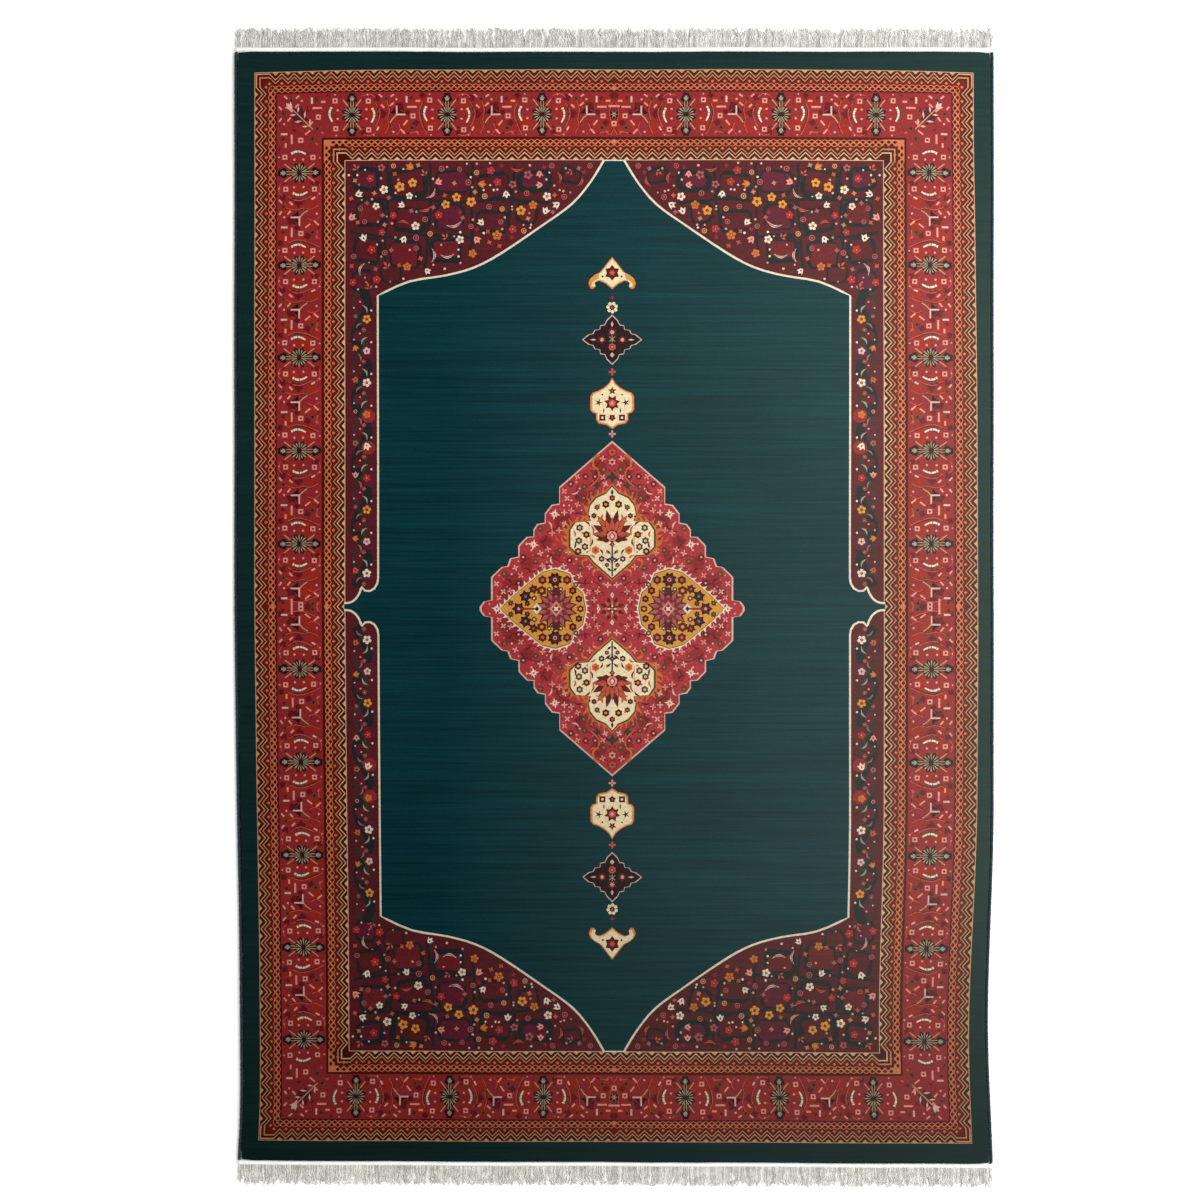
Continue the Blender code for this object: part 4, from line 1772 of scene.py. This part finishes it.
# End bands: flat cotton web with two rows of grey chain stitch
band = {
    "widest": 0.001,  # height of the outline's widest points
    "leastWidth": 0.008,  # less than this is the band's rounded corner
    "thickness": 0.0034,
    "rimHeight": 0.0006,
    "lowest": 0.0004,
    "crown": 0.3,  # how squarely it rises from its rims: less is squarer
    "cords": 5,
    "cordDepth": 0.0007,
    "pointsPerCord": 5,
    "step": 0.007,
    "waver": 0.0004,
    "waverScale": 14,
    "seams": (0.24, 0.80),
    "stitchTurn": (-0.12, 0.26),
    "cotton": (250, 251, 248),
    "weave": {"Scale": 190.0, "Distortion": 1.5, "Detail Scale": 6.0},
    "weaveTone": (0.88, 1.0),
    "grime": ((18.0, 60.0, 30.0), 3.0),
    "grimeTone": (0.86, 1.06),
    "bump": (0.5, 0.0005),
    "thread": {"dye": (206, 208, 204), "roughness": 0.7, "variation": 0.12, "twist": 2500.0},
    "sizes": {
        "Stitch Pitch": 0.0048,
        "Stitch Length": 0.0023,
        "Stitch Radius": 0.00062,
        "Stitch Lift": 0.0002,
    },
}


def bandEdges(end):
    # how far out the band's two long edges lie, from left to right
    inner, outer = {}, {}
    for x, y in outlineOf(f"end_band_{end}", band["widest"]):
        key = round(x, 4)
        inner[key] = min(inner.get(key, 9.0), abs(y))
        outer[key] = max(outer.get(key, 0.0), abs(y))
    keep = [x for x in sorted(inner) if outer[x] - inner[x] > band["leastWidth"]]
    return np.array(keep), np.array([inner[x] for x in keep]), np.array([outer[x] for x in keep])


def bandBase(end, way, cotton):
    # the ribbed strip, closed underneath, with the edges that its stitches follow marked
    xs, inner, outer = bandEdges(end)
    steps = int((xs[-1] - xs[0]) / band["step"])
    across = band["cords"] * band["pointsPerCord"]
    rise = band["thickness"] - band["rimHeight"]
    bm = bmesh.new()
    rows = []
    for x in np.linspace(xs[0], xs[-1], steps + 1):
        a, b = np.interp(x, xs, inner), np.interp(x, xs, outer)
        shift = band["waver"] * noise.noise(Vector((x * band["waverScale"], way * 3.0, 1.0)))
        spots = []
        for k in range(across + 1):
            t = k / across
            cord = abs(math.sin(math.pi * band["cords"] * t))
            lift = band["rimHeight"] + rise * math.sin(math.pi * t) ** band["crown"]
            spots.append((t, max(lift - band["cordDepth"] * (1.0 - cord) + 0.6 * shift, band["lowest"])))
        spots += [(1.0, 0.0), (0.0, 0.0)]
        rows.append([bm.verts.new((x, way * (a + (b - a) * t) + shift, z)) for t, z in spots])
    size = len(rows[0])
    for first, second in zip(rows, rows[1:]):
        for k in range(size):
            bm.faces.new([first[k], first[(k + 1) % size], second[(k + 1) % size], second[k]])
    bm.faces.new(rows[0])
    bm.faces.new(rows[-1][::-1])
    bmesh.ops.recalc_face_normals(bm, faces=bm.faces)
    seam = bm.edges.layers.float.new("seam")
    for first, second in zip(rows, rows[1:]):
        for share in band["seams"]:
            k = round(share * across)
            bm.edges.get((first[k], second[k]))[seam] = 1.0
    for face in bm.faces:
        face.smooth = True
    name = f"band_web_{end}"
    mesh = bpy.data.meshes.new(name)
    bm.to_mesh(mesh)
    bm.free()
    mesh.materials.append(cotton)
    return addObject(name, mesh)


def stitchNodes():
    tree, given, result = newNodes("band stitching", band["sizes"])
    marked = add(
        tree, "GeometryNodeInputNamedAttribute", {"Name": "seam"}, "Attribute", data_type="FLOAT"
    )
    onSeam = maths(tree, "GREATER_THAN", marked, 0.5)
    path = add(tree, "GeometryNodeMeshToCurve", {"Mesh": given["Geometry"], "Selection": onSeam})
    length = {"Curve": path, "Length": given["Stitch Pitch"]}
    spaced = add(tree, "GeometryNodeResampleCurve", length, mode="LENGTH")
    grain = add(tree, "GeometryNodeMeshUVSphere", {"Segments": 6, "Rings": 4, "Radius": 1.0})
    size = {"X": given["Stitch Length"], "Y": given["Stitch Radius"], "Z": given["Stitch Radius"]}
    stitches = {
        "Points": spaced,
        "Instance": grain,
        "Rotation": turnedBy(tree, randomly(tree, *band["stitchTurn"], seed=3)),
        "Scale": add(tree, "ShaderNodeCombineXYZ", size),
    }
    placed = add(tree, "GeometryNodeInstanceOnPoints", stitches)
    real = add(tree, "GeometryNodeRealizeInstances", {"Geometry": placed})
    up = add(tree, "ShaderNodeCombineXYZ", {"Z": given["Stitch Lift"]})
    raised = add(tree, "GeometryNodeSetPosition", {"Geometry": real, "Offset": up})
    smooth = add(tree, "GeometryNodeSetShadeSmooth", {"Geometry": raised})
    thread = add(tree, "GeometryNodeSetMaterial", {"Geometry": smooth, "Material": given["Yarn"]})
    both = tree.nodes.new("GeometryNodeJoinGeometry")
    for part in (thread, given["Geometry"]):
        feed(tree, both.inputs["Geometry"], part)
    feed(tree, result, both.outputs["Geometry"])
    return tree


def webCotton():
    # plain weave: fine warps and wefts, slightly grubby
    material, tree, shader = newMaterial("band_web_cotton", 0.9, 0.2)
    place = add(tree, "ShaderNodeTexCoord", output="Object")
    warp = add(
        tree,
        "ShaderNodeTexWave",
        {"Vector": place, **band["weave"]},
        "Fac",
        wave_type="BANDS",
        bands_direction="X",
    )
    grime = stretchedNoise(tree, place, *band["grime"])
    threads = remap(tree, warp, 0.0, 1.0, *band["weaveTone"])
    shade = maths(tree, "MULTIPLY", threads, spread(tree, grime, *band["grimeTone"]))
    dyeWith(tree, shader, band["cotton"], shade)
    bumped(tree, shader, warp, *band["bump"])
    return material


cotton = webCotton()
stitchThread = yarnMaterial("stitch_thread", **band["thread"])
stitching = stitchNodes()
webs = {}
for end, way in (("near", -1), ("far", 1)):
    webs[end] = grown(bandBase(end, way, cotton), stitching, band["sizes"], stitchThread)
print("end bands sewn:", {k: len(o.data.polygons) for k, o in webs.items()})


# Fringe: the warps' cut ends, curling into loose locks
fringe = {
    "sizes": {
        "Strands": 1380,
        "Strand Length": 0.0520,
        "Uneven": 0.24,
        "Lock Pitch": 0.0196,
        "Lock Pull": 0.12,
        "Lock Lean": 0.0060,
        "Curl": 0.0085,
        "Frizz": 0.0036,
        "Yarn Radius": 0.00072,
        "Root Height": 0.0012,
        "Loft": 0.0024,
    },
    "points": 13,
    "sides": 4,
    "endInset": 0.0015,
    "pastBand": 0.0002,
    "rootStops": 60,
    # how each sways: scale by strand or lock, scale along the strand, place in the noise
    "lean": (0.83, 1.7, 2.0),
    "curl": (60.0, 2.6, 5.0),
    "frizz": (1.0, 7.0, 8.0),
    "hook": (1.0, 4.0, 14.0),
    "cotton": {
        "dye": (219, 219, 209),
        "roughness": 0.85,
        "variation": 0.22,
        "twist": 1200.0,
        "lowest": 0.5,  # painted shade: tone of the strands that lie lowest
    },
}


def fringeNodes():
    tree, given, result = newNodes("fringe strands", {**fringe["sizes"], "Way": 1.0})

    def times(first, second):
        return maths(tree, "MULTIPLY", first, second)

    def plus(first, second):
        return maths(tree, "ADD", first, second)

    def less(first, second):
        return maths(tree, "SUBTRACT", first, second)

    def eased(power):
        return maths(tree, "POWER", along, power)

    def recall(label):
        kind = "GeometryNodeInputNamedAttribute"
        return add(tree, kind, {"Name": label}, "Attribute", data_type="FLOAT")

    def wander(label, value):
        # about -1 to 1, smooth in the value and along the strand
        scale, alongScale, offset = fringe[label]
        across, onwards = times(value, scale), times(along, alongScale)
        spot = add(tree, "ShaderNodeCombineXYZ", {"X": across, "Y": onwards, "Z": offset})
        made = add(tree, "ShaderNodeTexNoise", {"Vector": spot, "Scale": 1.0, "Detail": 1.0})
        return times(less(made, 0.5), 3.2)

    path = add(tree, "GeometryNodeMeshToCurve", {"Mesh": given["Geometry"]})
    spaced = add(tree, "GeometryNodeResampleCurve", {"Curve": path, "Count": given["Strands"]})
    roots = add(tree, "GeometryNodeCurveToPoints", {"Curve": spaced}, mode="EVALUATED")
    # what each strand remembers of its own: where it starts, its phase and its height
    where = add(tree, "ShaderNodeSeparateXYZ", {0: add(tree, "GeometryNodeInputPosition")}, "X")
    for label, value in (
        ("rootX", where),
        ("phase", randomly(tree, 0.0, 40.0, seed=11)),
        ("height", randomly(tree, 0.0, 1.0, seed=12)),
    ):
        stored = {"Geometry": roots, "Name": label, "Value": value}
        roots = add(tree, "GeometryNodeStoreNamedAttribute", stored, data_type="FLOAT")
    strand = add(tree, "GeometryNodeCurvePrimitiveLine", {"End": (0.0, 1.0, 0.0)})
    fine = add(tree, "GeometryNodeResampleCurve", {"Curve": strand, "Count": fringe["points"]})
    short = times(given["Uneven"], randomly(tree, 0.0, 1.0, seed=14))
    long = times(given["Strand Length"], less(1.0, short))
    size = add(tree, "ShaderNodeCombineXYZ", {"X": 1.0, "Y": times(long, given["Way"]), "Z": 1.0})
    strands = {"Points": roots, "Instance": fine, "Scale": size}
    placed = add(tree, "GeometryNodeInstanceOnPoints", strands)
    real = add(tree, "GeometryNodeRealizeInstances", {"Geometry": placed})

    # strands gather into locks that lean together, then curl and frizz on their own
    along = add(tree, "GeometryNodeSplineParameter", output="Factor")
    lock = maths(tree, "FLOOR", maths(tree, "DIVIDE", recall("rootX"), given["Lock Pitch"]))
    middle = times(plus(lock, 0.5), given["Lock Pitch"])
    lean = times(wander("lean", lock), given["Lock Lean"])
    pulled = times(less(middle, recall("rootX")), given["Lock Pull"])
    curl = times(wander("curl", recall("rootX")), given["Curl"])
    frizz = times(wander("frizz", recall("phase")), given["Frizz"])
    gathered = plus(times(pulled, eased(0.8)), times(lean, along))
    loose = plus(times(curl, eased(1.2)), times(frizz, maths(tree, "MINIMUM", times(along, 3.0), 1.0)))
    hook = times(wander("hook", recall("phase")), given["Curl"])
    hook = times(hook, times(0.5, eased(3.0)))
    riseFall = maths(tree, "SINE", times(along, 2.6))
    lift = times(times(recall("height"), given["Loft"]), plus(0.35, times(0.65, riseFall)))
    move = add(tree, "ShaderNodeCombineXYZ", {"X": plus(gathered, loose), "Y": hook, "Z": lift})
    shaped = add(tree, "GeometryNodeSetPosition", {"Geometry": real, "Offset": move})
    yarn = add(
        tree,
        "GeometryNodeCurvePrimitiveCircle",
        {"Resolution": fringe["sides"], "Radius": given["Yarn Radius"]},
    )
    tube = {"Curve": shaped, "Profile Curve": yarn, "Fill Caps": True}
    finishNodes(tree, add(tree, "GeometryNodeCurveToMesh", tube), given, result)
    return tree


def makeFringes():
    tree = fringeNodes()
    warps = yarnMaterial("fringe_cotton", **fringe["cotton"])
    inset = fringe["endInset"]
    made = {}
    for end, way in (("near", -1), ("far", 1)):
        xs, _, outer = bandEdges(end)
        path = []
        for x in np.linspace(xs[0] + inset, xs[-1] - inset, fringe["rootStops"]):
            out = float(np.interp(x, xs, outer)) + fringe["pastBand"]
            path.append((float(x), way * out, fringe["sizes"]["Root Height"]))
        base = pathObject(f"fringe_strands_{end}", path)
        made[end] = grown(base, tree, {**fringe["sizes"], "Way": float(way)}, warps)
    return made


fringes = makeFringes()
print("fringes cut:", {k: len(o.data.polygons) for k, o in fringes.items()})


# Studio: pale floor, two softboxes and a camera straight above
studio = {
    "floorSize": 14.0,
    "floorSteps": 8,
    "floorDye": (250, 250, 250),
    "lens": 85.0,
    "sensor": 36.0,
    "farthest": 60.0,
    "frameWidth": 3.158,
    "aim": (-0.037, 0.0205),
    "worldStrength": 0.56,
    "lamps": (  # name, place, aimed at, width, length, watts
        ("softboxRight", (4.2, 0.6, 4.0), (0.3, 0.2, 0.0), 3.0, 5.0, 440.0),
        ("softboxLeft", (-4.4, -0.6, 5.0), (-0.2, 0.0, 0.0), 3.0, 5.0, 90.0),
    ),
}


def makeFloor():
    bm = bmesh.new()
    steps = studio["floorSteps"]
    bmesh.ops.create_grid(bm, x_segments=steps, y_segments=steps, size=studio["floorSize"] / 2)
    mesh = bpy.data.meshes.new("studio_floor")
    bm.to_mesh(mesh)
    bm.free()
    floor = addObject("studio_floor", mesh)
    material, _, shader = newMaterial("pale_floor", 0.8, 0.0)
    shader.inputs["Base Color"].default_value = (*linear(studio["floorDye"]), 1.0)
    mesh.materials.append(material)


def makeLights():
    world = bpy.data.worlds.new("studio")
    world.use_nodes = True
    background = world.node_tree.nodes["Background"]
    background.inputs["Color"].default_value = (1.0, 1.0, 1.0, 1.0)
    background.inputs["Strength"].default_value = studio["worldStrength"]
    bpy.context.scene.world = world
    for name, place, target, width, length, watts in studio["lamps"]:
        lamp = bpy.data.lights.new(name, "AREA")
        lamp.shape = "RECTANGLE"
        lamp.size = width
        lamp.size_y = length
        lamp.energy = watts
        made = addObject(name, lamp)
        made.location = place
        toward = Vector(target) - Vector(place)
        made.rotation_euler = toward.to_track_quat("-Z", "Y").to_euler()


def makeCamera():
    lens = bpy.data.cameras.new("overhead")
    lens.lens = studio["lens"]
    lens.sensor_width = studio["sensor"]
    lens.clip_end = studio["farthest"]
    camera = addObject("overhead", lens)
    height = studio["frameWidth"] * studio["lens"] / studio["sensor"] + cloth["thickness"]
    camera.location = (*studio["aim"], height)
    bpy.context.scene.camera = camera


makeFloor()
makeLights()
makeCamera()
bpy.context.scene.view_settings.view_transform = "Standard"
print("studio ready")


# what stands for what
def hand(piece, nodeName):
    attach(piece, "root")
    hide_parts(nodeName)


hand(pile, "pile_cloth")
for side, winding in windings.items():
    hand(winding, f"overcast_edge_{side}")
for end in ("near", "far"):
    hand(webs[end], f"end_band_{end}")
    hand(fringes[end], f"fringe_{end}")
